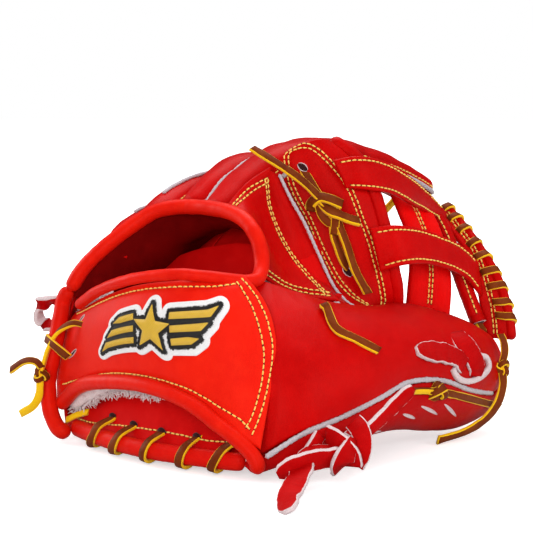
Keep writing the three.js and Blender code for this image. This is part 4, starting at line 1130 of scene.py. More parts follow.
def thumb_lining():
    """A soft pocket inside the stall."""
    rows = []
    around = np.linspace(0, 1, 18)
    for k in np.linspace(0, 1, 44):
        u = (0.36 + 0.58 * k) * 0.95
        row = np.concatenate([scatter_row(THUMB_BACK, u, around),
                              scatter_row(THUMB_FRONT, u, around[1:])])
        inward = row.mean(0) - row
        reach = np.linalg.norm(inward, axis=1, keepdims=True)
        inset = 6.6 + 2.0 * (k > 0.9) * (k - 0.9) / 0.1
        rows.append(row + inward / np.maximum(reach, 1e-6) * np.minimum(inset, reach * 0.8))
    rows = np.array(rows)
    rows = np.concatenate([rows, rows[:, :1]], 1)
    normals = grid_normals(rows)
    if (normals * (rows - rows.mean(1, keepdims=True))).sum() < 0:
        normals = -normals
    soft = rows + normals * (fbm(rows * 0.12, 3) * 0.8)[..., None]
    soft[:, -1] = soft[:, 0]
    return sheet(soft, normals, 1.3)


piece("thumb_lining_leather", thumb_lining(), [LINING, LINING], THUMB, ["thumb_lining"])

# ------------------------------------------------------------------ index gusset
# Rows from the back opening to the web.
GUSSET = grid(3,
    -1.0,58,143.4,  17,56,138,  27,56,130,  34,54,118,  31,52,105.5,
    1.8,72.5,156.2,  8.5,73.5,138,  14.5,75,121.5,  25.2,76.3,106.5,  38.2,76,92.2,
    7.0,88,165.0,  5.6,91,142,  16.8,94,119.0,  32.9,96.5,101.6,  54,98,87.6)
gusset = Surface(GUSSET)
gusset_seams = [gusset.line(stops) for stops in (
    [(0.04, 0.055), (0.3, 0.05), (0.6, 0.05), (0.95, 0.055)],
    [(0.93, 0.05), (0.93, 0.3), (0.925, 0.6), (0.93, 0.95)],
    [(0.05, 0.945), (0.3, 0.95), (0.6, 0.955), (0.95, 0.96)])]
gusset_bvh = leather_sheet("index_gusset_leather", gusset, GLOVE,
                           ["index_gusset"], offset=0.8, seams=gusset_seams, puff=0.9,
                           wrinkle=0.5, wrinkle_scale=0.04, seed=41, step=1.1)
for seam, gap in zip(gusset_seams, (-2.5, -2.5, 2.5)):
    double_stitches(body_stitching, gusset_bvh, *seam, gap)

# ------------------------------------------------------------------ web base
# Rows from the gusset to its rolled edge, each from the top down.
WEB_BASE = grid(4,
    0.6,100,163.5,  8.2,103.3,144.9,  16.6,106.7,131.3,  24.2,110,112.8,  32.5,113.3,94.4,
    41.6,116.7,84.6,  52.1,120,80.4,
    4.8,108,174.1,  16.5,112.2,156.4,  24.9,116.3,141.5,  32.6,120.5,121.7,  38.7,124.7,102.3,
    44.8,128.8,86.6,  50.8,133,77.6,
    18.6,116,181,  27.9,121,163.7,  37.2,126,145.8,  42.6,131,125.2,  46.5,136,104.4,
    48.9,141,87.5,  48.9,146,75.2,
    19.5,128,179.9,  32,138.7,169,  43.3,141.3,148.8,  49.2,144,128.3,  53.5,146.7,105.8,
    55.4,149.3,89.1,  52.7,152,76.2)
web_base = Surface(WEB_BASE)
web_base_seam = web_base.line([
    (0.31, 0.945), (0.235, 0.86), (0.165, 0.73), (0.125, 0.57), (0.11, 0.41), (0.12, 0.22),
    (0.165, 0.085), (0.27, 0.018), (0.40, 0.012), (0.55, 0.04), (0.64, 0.14), (0.68, 0.26),
    (0.675, 0.42), (0.70, 0.57), (0.69, 0.73), (0.62, 0.90), (0.46, 0.955), (0.30, 0.945)], 420)
web_base_bvh = leather_sheet("web_base_leather", web_base, GLOVE,
                             ["web_base_panel"], offset=1.0, u=(0.0, 0.93), seams=[web_base_seam],
                             puff=0.8, wrinkle=0.35, wrinkle_scale=0.04, seed=43, step=1.1,
                             thick=3.0, materials=SHELL_PALM)
double_stitches(body_stitching, web_base_bvh, *web_base_seam)
base_edge = scatter_row(WEB_BASE, 0.985, np.linspace(0.0, 1.0, 12))
base_edge = base_edge - unit(np.array([620, -794, 145.0])) * 3.0
piece("web_base_rolled_edge", roll(base_edge, 4.7, wrinkle=0.14, seed=45, sides=24), [SHELL],
      GLOVE)
web_slits = Bag()
for start, end in (((0.325, 0.075), (0.385, 0.125)), ((0.255, 0.63), (0.305, 0.70))):
    slit(web_slits, web_base_bvh, web_base, start, end, width=2.1)
piece("web_base_slits", web_slits, SLIT_LOOK, GLOVE)

# ------------------------------------------------------------------ web posts and cross pieces
POST_UPPER = grid(3,
    32.1,116,169,  41.6,128,171.2,  45.5,148,167.3,  45.3,172,157.4,  41.1,198,144.9,
    38.3,221,130.4,
    35.2,118.5,160.6,  43.9,130,161,  47.1,150,157.3,  46.2,173.5,148.1,  41.3,199,137.9,
    38.3,221,126.8,
    38.2,121,152.2,  46.2,132,150.8,  48.8,152,147.2,  47.1,175,138.7,  41.4,200,130.9,
    38.4,221,123.3)
POST_LOWER = grid(3,
    48.8,131,128.1,  58.5,142,129.7,  60.5,163,126.4,  61.5,186,119.6,  63,205,111.8,
    65.4,219,100.6,
    51.2,133,114.8,  61.6,143.5,117.7,  63.7,164,115.5,  64.8,187,109.2,  65.9,205,101.3,
    67.5,218,90,
    53.6,135,101.4,  64.8,145,105.7,  66.9,165,104.6,  68.1,188,98.7,  68.8,205,90.8,
    69.6,217,79.4)
CROSS_MIDDLE = grid(2,
    28,172,154.6,  38.7,170.8,136.6,  47.7,169.6,119.9,  50.4,168.4,102.2,  50,167.2,86.7,
    49.5,166,74.9,
    26.7,200,151.6,  46.1,198,130.7,  57.2,196,112.8,  62.9,194,97.7,  65.3,192,84.3,
    65.6,190,68.1)
CROSS_OUTER = path(25.8,214,140.4,  43.5,212.7,118.0,  57.2,212,91.5,  64.0,211.5,78.5,
                   72.0,211,63.6)
WEB_AWAY = -unit(CAMERA - np.array([55, 180, 110.0]))   # from the camera through the web


def band(name, control, node, seed, thick=3.0, seam_rows=(0.12, 0.88), seam_end=(0.04, 0.95),
         offset=1.0, materials=SHELL_PALM, puff=1.0, fold=None):
    """A strip of the web with stitched rows along it, from seam_end[0] to seam_end[1]."""
    surface = Surface(control)
    seams = [surface.line([(u, v) for v in np.linspace(*seam_end, 6)]) for u in seam_rows]
    bvh = leather_sheet(name, surface, GLOVE, [node], thick=thick, offset=offset,
                        seams=seams, puff=puff, wrinkle=0.35, wrinkle_scale=0.045, seed=seed,
                        step=1.1, materials=materials, fold=fold)
    for seam in seams:
        stitches(body_stitching, bvh, *seam)


def two_rolls(points, us, vs):
    """Two ridges side by side with a valley between them."""
    u = us[:, None] + 0 * vs
    return 3.4 * np.sqrt(np.clip(1 - (np.abs(np.abs(u - 0.5) - 0.27) / 0.27) ** 2, 0, 1)) - 1.2


band("web_post_upper_leather", POST_UPPER, "web_post_upper", seed=51)
band("web_post_lower_leather", POST_LOWER, "web_post_lower", seed=52)
# its outer face wears the painted-light copy of the shell leather
band("web_cross_middle_leather", CROSS_MIDDLE + WEB_AWAY * 7.5, "web_cross_middle", seed=53,
     thick=4.0, seam_rows=(0.47, 0.55), seam_end=(0.03, 0.93), offset=0, fold=two_rolls,
     puff=0.0, materials=[LIT_WEB_RED, PALM_RED])

cross_line = curve(CROSS_OUTER, 30)
cross_roll = roll(cross_line, 5.0, wrinkle=0.14, seed=54, sides=24)
piece("web_cross_outer_leather", cross_roll, [SHELL], GLOVE, ["web_cross_outer"])
seam = resample(cross_line, 1.0)
tangents = unit(np.gradient(seam, axis=0))
facing = across(unit(CAMERA - seam), tangents)
seam = seam + np.cross(facing, tangents) * 1.2
stitches(body_stitching, cross_roll.bvh(), seam[4:-4], facing[4:-4])

# its open cut end, with a dark disc inside as painted shade of the hollow
cross_end = cross_line[-1]
cross_out = unit(cross_line[-1] - cross_line[-2])
cut_end = Bag()
cut_end.join(sweep(np.array([cross_end + cross_out * d for d in (-5.5, -3.0, -1.2, 0.6)]),
                   circle(5.05, 24), scale=[0.93, 1.0, 1.02, 1.03], cap_slot=1))
cut_end.join(sweep(np.array([cross_end + cross_out * d for d in (0.2, 0.85)]), circle(3.7, 20),
                   slot=2))
piece("web_cross_outer_cut_end", cut_end, [SHELL, PALE_EDGE, SLIT_SHADE], GLOVE)

# the strip along the web's outer edge: inner row and outer row
WEB_EDGE = grid(2,
    29.7,226,128.1,  40.4,224.8,119.2,  54.9,223.7,105,  63.9,222.5,90.5,  70.5,221.3,73.9,
    73.9,220.2,60.3,  74.9,219,52.9,
    27.7,234,132.6,  39.7,232.3,123.4,  54.2,230.7,111.1,  68.3,229,97.1,  78.9,227.3,81.6,
    85.5,225.7,65.7,  88.9,224,52.6)
WEB_EDGE[0] += (WEB_EDGE[0] - WEB_EDGE[1]) * 0.35
web_edge = Surface(WEB_EDGE)
web_edge_seam = web_edge.line([(0.45, 0.03), (0.45, 0.35), (0.45, 0.65), (0.45, 0.96)])
web_edge_bvh = leather_sheet("web_edge_leather", web_edge, GLOVE,
                             ["web_edge_strip"], thick=4.2, offset=2.4, seams=[web_edge_seam],
                             puff=0.8, wrinkle=0.4, seed=55, step=1.0, materials=SHELL_PALM)
double_stitches(body_stitching, web_edge_bvh, *web_edge_seam, gap=2.3)
piece("body_stitching", body_stitching, STITCH_LOOK, GLOVE)

# ------------------------------------------------------------------ gusset piping and fold
GUSSET_WELT = path(8.5,94,160.6,  14.9,97.7,145.7,  22.9,101.3,131,  30.9,105,112.6,
                   38.9,108.7,94.9,  46,112.3,85.5,  51.5,116,81.4)
GUSSET_LOWER_WELT = path(24.1,56,104.8,  33.9,66,96.5,  46,76,90.2,  52.8,86,87.4,
                         55.1,96,87.1)
for name, stops, radius, node, lift, seed in (
        ("gusset_piping", GUSSET_WELT, 0.98, "gusset_welt", 1.0, 3),
        ("gusset_lower_piping", GUSSET_LOWER_WELT, 0.95, "gusset_lower_welt", 1.2, 4)):
    line = resample(stops, 1.0)
    welt(name, line, unit(CAMERA - line), radius, GLOVE, [node], lift=lift, seed=seed)

# leather between the gusset's seam and the piping
fold_start = scatter_row(GUSSET, 0.93, np.linspace(0, 1, 9))
fold_end = curve(GUSSET_WELT, 9)
fold_control = np.stack([fold_start + WEB_AWAY * 0.9, (fold_start + fold_end) / 2 - WEB_AWAY * 0.6,
                         fold_end + WEB_AWAY * 1.6])
leather_sheet("gusset_fold_leather", Surface(fold_control), GLOVE, [],
              offset=0.4, thick=2.0, wrinkle=0.3, seed=47, step=1.2)

# ------------------------------------------------------------------ fingers
# Line along the back of each stall, half widths and heights along it, roll about its axis.
FINGERS = {
    "index": dict(
        body=GLOVE, roll=-0.02,
        back=path(-20,64,144,  -17,88,163,  -11,110,176,  -5,135,180,  -1,160,178,
                  2,185,171,  4,210,162,  5,228,153,  5,241,145),
        half_width=[14, 16, 17.5, 18, 18, 18, 17.5, 16.5, 15],
        half_height=[17, 15, 13, 12.5, 12, 11.5, 10.5, 9.5, 8.5]),
    "middle": dict(
        body=GLOVE, roll=-0.28,
        back=path(-46,67,143,  -46,90,160,  -45,112,169,  -43,138,166,  -41,165,158,
                  -39,190,146,  -37,214,130,  -35,232,115,  -34,243,103),
        half_width=[12, 15.5, 18, 18.5, 18.5, 18, 17.5, 16.5, 15],
        half_height=[17, 15, 13, 12.5, 12, 12, 12, 12, 11.5]),
    "ring": dict(
        body=OUTER, roll=-0.62,
        back=path(-63,47,136,  -67,62,143,  -72,86,150,  -75,108,152,  -76,133,146,
                  -74,158,133,  -70,183,116,  -65,206,96,  -62,221,80,  -60,230,67),
        half_width=[12, 14, 16, 17.5, 18, 18, 18, 17.5, 16.5, 15],
        half_height=[17, 16, 15, 13, 12.5, 12, 12, 12, 11.5, 11]),
    "little": dict(
        body=OUTER, roll=-1.0,
        back=path(-81,28,108,  -87,46,121,  -93,72,128,  -98,97,126,  -100,122,116,
                  -99,146,100,  -95,168,80,  -90,187,58,  -85,203,34),
        half_width=[10, 13, 15, 16.5, 17.5, 17.5, 17, 16.5, 15],
        half_height=[16, 16, 15.5, 13.5, 12.5, 12, 11.5, 11, 10.5])}
TIP_LENGTH = 13.0
SECTION_POWER = 2.6   # superellipse exponent of a stall's cross-section


def stall(name, first_angle, last_angle, columns, inset=0.0, begin=0.0, rows=64, grow=0.0):
    """Points, normals and station fractions of a finger stall between two angles.

    begin is the fraction of the length it starts at; the tip is rounded off.
    """
    finger = FINGERS[name]
    back = finger["back"]
    known = arc(curve(back, 400))
    total = known[-1]
    tip = TIP_LENGTH * np.sin(np.linspace(0, 0.965 * np.pi / 2, 14))
    along = np.r_[np.linspace(begin * total, total - TIP_LENGTH, rows - 13)[:-1],
                  total - TIP_LENGTH + tip]
    t = np.interp(along, known, np.linspace(0, 1, 400))
    tangents = unit(curve_at(back, np.clip(t + 0.01, 0, 1))
                    - curve_at(back, np.clip(t - 0.01, 0, 1)))
    up = np.array([math.sin(finger["roll"]), 0, math.cos(finger["roll"])])
    ups = unit(up - tangents * (tangents @ up)[:, None])
    sides = np.cross(tangents, ups)
    k = np.linspace(0, 1, len(back))
    width = np.interp(t, k, finger["half_width"])
    height = np.interp(t, k, finger["half_height"])
    left = total - along
    round_ = np.where(left < TIP_LENGTH,
                      np.sqrt(np.clip(1 - ((TIP_LENGTH - left) / TIP_LENGTH) ** 2, 0, 1)), 1.0)
    centres = (curve_at(back, t) - ups * height[:, None]
               - tangents * (inset * (along > 0.9 * total))[:, None])
    angles = first_angle + (last_angle - first_angle) * np.linspace(0, 1, columns)
    x, y = (np.sign(a) * np.abs(a) ** (2 / SECTION_POWER) for a in (np.cos(angles), np.sin(angles)))
    reach_x = (np.maximum(width - inset, 1) + grow) * round_
    reach_y = (np.maximum(height - inset, 1) + grow) * round_
    points = (centres[:, None] + sides[:, None] * (reach_x[:, None, None] * x[None, :, None])
              + ups[:, None] * (reach_y[:, None, None] * y[None, :, None]))
    normals = unit(
        sides[:, None] * (x / np.maximum(width, 1)[:, None] * width.mean())[..., None]
        + ups[:, None] * (y / np.maximum(height, 1)[:, None] * height.mean())[..., None]
        + tangents[:, None] * np.sqrt(np.clip(1 - round_**2, 0, 1))[:, None, None] * 1.2)
    return points, normals, along / total


finger_stitching = {GLOVE: Bag(), OUTER: Bag()}
finger_backs = Bag()


def finger_back(name, body):
    first, last = -0.12, math.pi + 0.12
    points, normals, fraction = stall(name, first, last, 46)
    over = np.sin(np.clip(np.linspace(first, last, 46), 0, np.pi))
    knuckles = sum(np.exp(-((fraction - k) / 0.035) ** 2) for k in (0.36, 0.62, 0.8))
    shift = (-0.55 * knuckles[:, None] * over[None] + 0.75 * fbm(points * 0.035, 61 + len(name))
             + 0.35 * vnoise(points * np.array([0.04, 0.16, 0.10]), 5))
    # one seam down each side
    seams = [(points[3:-9, column], normals[3:-9, column]) for column in (4, 41)]
    raised = seam_groove(points, [line for line, _ in seams], depth=0.6, width=1.4)
    bag = sheet(points, normals, 2.4, 0.0, raised, shift)
    piece(f"{name}_back_leather", bag, SHELL_LINED, body,
          [f"{name}_back_shell"])
    finger_backs.join(bag)
    bvh = bag.bvh()
    for line, facing in seams:
        even = resample(line, 1.0)
        stitches(finger_stitching[body], bvh, even, unit(stretch(facing, len(even))))


def finger_front(name, body):
    points, normals, _ = stall(name, math.pi + 0.10, 2 * math.pi - 0.10, 30, begin=0.26)
    bag = sheet(points, normals, 2.4, shift=0.6 * fbm(points * 0.05, 71 + len(name)))
    piece(f"{name}_front_leather", bag, PALM_LINED, body,
          ["palm_shell"] if body == GLOVE else ["outer_palm_shell"])


def finger_side_piping(name, body):
    piping = Bag()
    for angle in (-0.02, math.pi + 0.02):
        points, normals, _ = stall(name, angle, angle + 0.01, 2, grow=0.5, begin=0.22, rows=90)
        line = resample(points[:-8, 0], 1.1)
        piping.join(sweep(line, circle(1.45), facing=unit(stretch(normals[:-8, 0], len(line))),
                          scale=end_scale(line, 1.45),
                          jitter=lambda surface: 0.08 * vnoise(surface / 0.8, 3)))
    piece(f"{name}_side_piping", piping, [WELT_WHITE], body)


def finger_lining(name, body):
    points, normals, _ = stall(name, 0, 2 * math.pi, 40, inset=3.9, begin=0.22)
    points[:, -1] = points[:, 0]
    normals[:, -1] = normals[:, 0]
    soft = points + normals * (fbm(points * 0.15, 81) * 0.7)[..., None]
    soft[:, -1] = soft[:, 0]
    piece(f"{name}_lining_leather", sheet(soft, normals, 1.2), [LINING, LINING], body,
          [f"{name}_lining"])


for name, finger in FINGERS.items():
    for build in (finger_back, finger_front, finger_side_piping, finger_lining):
        build(name, finger["body"])

finger_backs_bvh = finger_backs.bvh()


def seam_piping(name, stops, body, seed):
    """Piping between two fingers, laid on their backs and smoothed."""
    line = resample(stops, 1.0)
    normals = np.repeat(unit(path(-0.05, -0.30, 0.95)), len(line), 0)
    line, _ = on_surface(finger_backs_bvh, line, normals, 24)
    line = np.stack([np.convolve(np.pad(column, 4, mode="edge"), np.ones(9) / 9, "valid")
                     for column in line.T], 1)
    welt(name + "_piping", line, normals, 1.35, body, [name + "_welt"], lift=0.8, seed=seed)


seam_piping("index_middle", path(-31,62,146,  -30,78,157,  -29,96,167,  -27,116,171,
                                 -24,140,172,  -21,165,167,  -18,192,157,  -15,214,146), GLOVE, 1)
seam_piping("middle_ring", path(-58,62,144,  -60,78,155,  -60.5,96,163,  -60.5,116,166,
                                -59,140,161.5,  -56,165,151), GLOVE, 2)
seam_piping("ring_little", path(-81,60,132,  -87,76,138,  -92,94,139,  -96,114,133,
                                -96,136,121), OUTER, 3)
piece("finger_stitching", finger_stitching[GLOVE], STITCH_LOOK, GLOVE)
piece("outer_finger_stitching", finger_stitching[OUTER], STITCH_LOOK, OUTER)

# Side of the hand below the little finger, rows top to bottom.
LITTLE_SIDE = grid(5,
    -80,19,95,  -83,40,106,  -87,64,110,  -93,90,108,  -96,114,99,  -96,130,90,
    -88,15,86,  -93,38,95,  -98,62,99,  -104,88,97,  -105,112,88,  -102,128,80,
    -94,11,50,  -104,32,62,  -113,54,72,  -117,78,76,  -114,102,76,  -104,124,70,
    -87,6,12,  -99,26,26,  -109,50,40,  -114,76,51,  -109,102,60,  -99,122,64,
    -80,4,5.5,  -92,25,20,  -101,49,35,  -106,76,49,  -98,106,68,  -90,124,78)
leather_sheet("little_side_leather", Surface(LITTLE_SIDE, towards=(-400, 40, 40)), GLOVE,
              ["little_side_shell"], offset=1.0, puff=1.2, wrinkle=0.6, seed=91,
              step=1.8)

# ------------------------------------------------------------------ palm
# Rows from the heel to the knuckles, each from the little-finger edge to the thumb crease.
PALM = grid(5,
    -80,3,6,  -66,-1,4,  -45,-5,3.5,  -20,-8.5,3,  2,-8.5,3,  24,-5,3.5,  44,0,4,  60,6,6,
    -93,24,20,  -80,22,16,  -58,21,22,  -36,20,30,  -10,20,33,  16,21,32,  38,24,28,
    56.5,31,29,
    -103,48,34,  -90,47,38,  -68,46,54,  -42,46,66,  -14,46,69,  12,48,67,  33,52,60,
    51,57,52,
    -109,74,46,  -98,76,60,  -73,77,88,  -46,78,103,  -16,84,112,  9,90,112,  29,96,103,
    40,103,88,
    -96,110,80,  -80,122,99,  -61,126,127,  -37,127,144,  -18,129,151,  -2,130,155,
    12,118,141,  28,110,102)
PALM_SPLIT = 0.47   # v where the outer and the main palm leather meet


def palm_sample(us, vs):
    """Points of the palm with normals that look down and out."""
    points = tensor(PALM, us, vs)
    normals = grid_normals(points)
    if (normals * np.array([0, 0.4, -1])).sum() < 0:
        normals = -normals
    return points, normals


def palm_part(name, v, joined, node):
    u = (0.05, 1.0)
    us = span_stations(u, 170 * (u[1] - u[0]), int(100 * (u[1] - u[0])) + 8, 1.4)
    vs = span_stations(v, 170 * (v[1] - v[0]), int(100 * (v[1] - v[0])) + 8, 1.4,
                       low=joined != "v0", high=joined != "v1")
    points, normals = palm_sample(us, vs)
    folds = vnoise(points / np.array([9, 40, 40]), 96)
    shift = (0.9 * fbm(points * 0.03, 95)
             + 0.5 * folds * np.exp(-((points[..., 1] - 70) / 60) ** 2))
    bag = sheet(points, normals, 2.4, shift=shift, joined=joined)
    return piece(name, bag, PALM_LINED, None, [node])


outer_palm = palm_part("outer_palm_leather", (0.0, PALM_SPLIT), "v1", "outer_palm_shell")
main_palm = palm_part("main_palm_leather", (PALM_SPLIT, 1.0), "v0", "palm_shell")
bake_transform(outer_palm)
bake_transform(main_palm)


def palm_layer(name, u, v, offset, thick, look, node, seed, lining=False):
    """A layer inside the palm. The lining starts close to the leather at the heel and lies
    closer again towards the thumb."""
    us = span_stations(u, 150 * (u[1] - u[0]), int(70 * (u[1] - u[0])) + 8, thick * 0.6)
    vs = span_stations(v, 150 * (v[1] - v[0]), int(70 * (v[1] - v[0])) + 8, thick * 0.6)
    points, normals = palm_sample(us, vs)
    depth = np.full(points.shape[:2], float(offset))
    if lining:
        leave = smooth(np.clip((us - u[0]) / 0.16, 0, 1))
        depth = -2.6 + (offset + 2.6) * leave[:, None] * np.ones_like(depth)
        forward, across_ = np.clip((us - 0.40) / 0.24, 0, 1), np.clip((vs - 0.62) / 0.26, 0, 1)
        depth = depth + 7.6 * smooth(forward)[:, None] * smooth(across_)[None, :]
    bag = sheet(points, normals, thick, shift=0.8 * fbm(points * 0.05, seed) + depth)
    piece(name, bag, [look, look], GLOVE, [node])
    return bag


for name, u, v, thick, node, seed in (
        ("thumb_heel_padding", (0.14, 0.42), (0.72, 0.92), 5.0, "thumb_heel_pad", 101),
        ("little_heel_padding", (0.14, 0.42), (0.08, 0.28), 5.0, "little_heel_pad", 102),
        ("palm_felt_padding", (0.1, 0.68), (0.32, 0.68), 3.0, "palm_felt", 103)):
    palm_layer(name, u, v, -4.0, thick, PAD_FELT, node, seed)
palm_lining_bvh = palm_layer("palm_lining_leather", (0.03, 0.74), (0.06, 0.92), -10.6, 1.2,
                             LINING, "palm_lining", 104, lining=True).bvh()

# lining of the hand opening: from the rolled edge forward below the knuckles, in near-black leather
# as painted shade inside the opening
rim = RIM[:10]
inset = np.array([7.5, 10.5, 13.0, 14.0, 13.0, 11.5, 8.0, 5.5, 4.5, 4.0])
inward = unit((np.array([-25, 40, 60.0]) - rim) * np.array([1, 0, 1])) * inset[:, None]
opening_lining = np.stack([
    rim + np.array([0, 1.5, -2.0]) + inward * 0.3,
    rim + np.array([0, 12, -9]) + inward,
    rim * np.array([0.97, 1, 1]) + np.array([0, 28, -11]) + inward,
    rim * np.array([0.94, 1, 1]) + np.array([-1, 46, -9]) + inward])
leather_sheet("opening_lining_leather", Surface(opening_lining, towards=(-20, 40, 20)), GLOVE,
              [], thick=1.2, wrinkle=0.9, wrinkle_scale=0.06, seed=106, step=2.0,
              materials=[SHADED_LINING, SHADED_LINING], v=(0, 0.88))


# ------------------------------------------------------------------ web base lacing
def beside(point, right=0.0, up=0.0, near=0.0):
    """A point moved to the camera's right, up and towards the camera, mm."""
    return point + RIGHT * right + UP * up - VIEW * near


def looking(near, right=0.0, up=0.0):
    """A direction in the camera's terms."""
    return unit(-VIEW * near + RIGHT * right + UP * up)


TAIL_UP = path(34.3,111.9,138.1,  27.8,106.7,148.2,  18.1,101.2,158.1,  7.9,92,167.3,
               -4.3,84,176.1)
TAIL_DOWN = path(36.3,113.2,136.1,  40.6,117.7,120.5,  45.1,121.7,103,  51.1,126.8,88.8)
LOOP_UP = path(16.5,107.4,162.4,  23.3,109,152.5,  30.7,110.8,141.9)
LOOP_DOWN = path(34.3,113,136.6,  34.5,114.2,123.9,  38.4,117.3,110,  41.3,120,103.7)
WEB_KNOT = np.array([33.8, 111.5, 138.8])
# line, width, seed, lean
KNOT_WRAPS = (
    (path(26.9,109.2,143.8,  30.5,107.8,137.3,  34.0,110.2,132.2,  36.5,114.4,132.0),
     5.6, 90, -20),
    (path(22.5,107.0,138.9,  24.5,105.7,143.4,  29.5,107.2,146.9,  35.0,110.2,145.9,
          39.6,115.7,142.6), 6.4, 91, 35),
    (path(29.0,109.6,143.4,  34.8,109.2,139.6,  40.4,112.5,136.7,  44.8,117.6,134.0,
          46.6,123.0,132.5), 6.4, 92, 35),
    (path(37.8,111.8,137.1,  36.9,112.6,131.1,  35.3,113.0,124.9), 5.0, 93, 5))
# the far ends of the loops sink into the leather
LOOP_UP[0] += VIEW * 4.6
LOOP_DOWN[-1] += VIEW * 4.6

web_lacing = Bag()
lace(web_lacing, TAIL_UP, lean=38, seed=1)
lace(web_lacing, TAIL_DOWN, seed=2, facing=looking(0.8, right=0.55))
lace(web_lacing, LOOP_UP, width=4.8, seed=3)
lace(web_lacing, LOOP_DOWN, width=4.8, seed=4, facing=looking(0.85, right=0.5))
lace_knot(web_lacing, WEB_KNOT + VIEW * 1.5, size=5.2, width=4.4, thick=1.9, seed=5, turn=0.5)
for line, width, seed, lean in KNOT_WRAPS:
    lace(web_lacing, line, width, thick=2.7, lean=lean, seed=seed, tip=(0, 0), step=0.8)
piece("web_base_lacing", web_lacing, LACE_LOOK, GLOVE, ["web_base_lace"])

# ------------------------------------------------------------------ thumb lacing
TOP_STUB = path(70.7,63.6,87.6,  80.9,62,79.1,  89.5,69.7,72.9,  97.4,80.4,65.7)
top_lacing = Bag()
lace(top_lacing, [beside(TOP_STUB[0], up=2, near=-3.5), beside(TOP_STUB[0], up=3.5, near=1.5),
                  beside(TOP_STUB[0], right=1.5, up=1.5, near=1.5),
                  beside(TOP_STUB[1], near=1.2), TOP_STUB[2], TOP_STUB[3]], lean=38, seed=11)
piece("thumb_top_lacing", top_lacing, LACE_LOOK, THUMB, ["thumb_top_lace"])

thumb_slits = Bag()
slit(thumb_slits, thumb_back_bvh, thumb_back, (0.205, 0.155), (0.245, 0.175), width=2.0)
for start, end in (((0.44, 0.17), (0.50, 0.24)), ((0.52, 0.16), (0.60, 0.24)),
                   ((0.62, 0.17), (0.69, 0.25)), ((0.30, 0.2), (0.36, 0.27))):
    slit(thumb_slits, thumb_front_bvh, thumb_front, start, end, width=0.8, slots=(1, 1))
piece("thumb_slits", thumb_slits, SLIT_LOOK, THUMB)

TIP_THONG_LONG = path(96.7,116.2,60.9,  97.1,122.0,60.1,  97.8,130.9,58.5,  98.4,141.4,56.2,
                      99.7,151.6,52.1,  101.2,156.2,46.9)
TIP_THONG_ACROSS = path(88.5,164.4,64.4,  93.0,165.1,59.9,  96.5,167.4,54.6,  99.0,169.6,49.0,
                        100.6,170.2,43.2,  101.7,166.5,39.5)
TIP_THONG_CORD = path(101.8,144.2,46.8,  102.3,144.8,43.9,  102.8,151.3,39.6,
                      102.4,161.9,37.1,  100.2,177.2,38.2,  97.0,188.5,42.5,  95.9,188.5,46.1,
                      96.8,179.2,49.5)


def laid(points, heights):
    """A line moved along the view onto the thumb's back, at heights mm; also the normals."""
    line = resample(points, count=len(heights))
    towards = unit(CAMERA - line)
    landed, normals = on_surface(thumb_back_bvh, line, towards, 24)
    return landed + towards * np.asarray(heights, float).reshape(-1, 1), normals


tip_thong = Bag()
line, normals = laid(TIP_THONG_LONG, [1.8, 1.8, 1.9, 2.0, 2.0, 2.0, 1.8, 1.4])
lace(tip_thong, line, width=12.6, thick=2.8, facing=normals, seed=12, fuzz=0.2, tip=(0, 0),
     widths=[0.42, 0.72, 0.88, 0.97, 1, 1, 1, 1, 1, 1, 1, 1, 1, 1, 1, 1, 0.97, 0.9], step=0.9)
line, normals = laid(TIP_THONG_ACROSS, [0.4, 3.4, 5.2, 5.8, 5.6, 4.2, 1.2])
lace(tip_thong, line, width=12.6, thick=2.6, facing=unit(normals * 0.6 - VIEW * 0.4), seed=13,
     fuzz=0.2, tip=(0, 0), widths=[0.85, 1, 1.05, 1.05, 1, 0.9, 0.7], step=0.9)
line, normals = laid(TIP_THONG_CORD, [1.2, 2.0, 2.6, 3.0, 3.2, 3.2, 2.8, 2.2, 1.0])
lace(tip_thong, line, width=3.4, thick=3.0, facing=normals, seed=14, fuzz=0.2, tip=(0, 0),
     step=0.8, slots=(1, 1, 1))
piece("thumb_tip_thong_leather", tip_thong, THONG_LOOK, THUMB, ["thumb_tip_thong"])

EDGE_TAIL = path(100.5,197,39.9,  103.5,194,30.8,  105.6,186,21.1,  104.7,175,12.7,
                 100.9,160,6.6,  94.8,140.2,3.5)
EDGE_KNOT = EDGE_TAIL[0]
tip_lacing = Bag()
lace_knot(tip_lacing, EDGE_KNOT, size=4.6, width=3.8, thick=1.7, seed=15, turn=0.2)
lace(tip_lacing, EDGE_TAIL, seed=16, lean=-25)
lace(tip_lacing, [beside(EDGE_KNOT, up=3), beside(EDGE_KNOT, 1.5, 9, 1),
                  beside(EDGE_KNOT, 1, 16, 0.5), beside(EDGE_KNOT, -1, 21)],
     width=4.6, lean=0, seed=17)
piece("thumb_tip_lacing", tip_lacing, LACE_LOOK, THUMB, ["thumb_tip_lace"])

# the lace out of the outer cross piece's cut end
cross_lacing = Bag()
lace(cross_lacing, [cross_end - cross_out * 4, cross_end + cross_out * 1.5,
                    beside(cross_end + cross_out * 6.5, right=1.2),
                    beside(cross_end + cross_out * 10, right=0.4, near=-5)],
     width=4.6, seed=118, facing=looking(0.7, right=0.7))
piece("web_cross_outer_lacing", cross_lacing, LACE_LOOK, GLOVE)

FRONT_LACE = path(87.9,110,38.1,  90.5,120,35.7,  91.7,132,34.1,  90,146,31.1,
                  94.6,162,26.9,  99.4,178,21.4,  103,192,16.6)


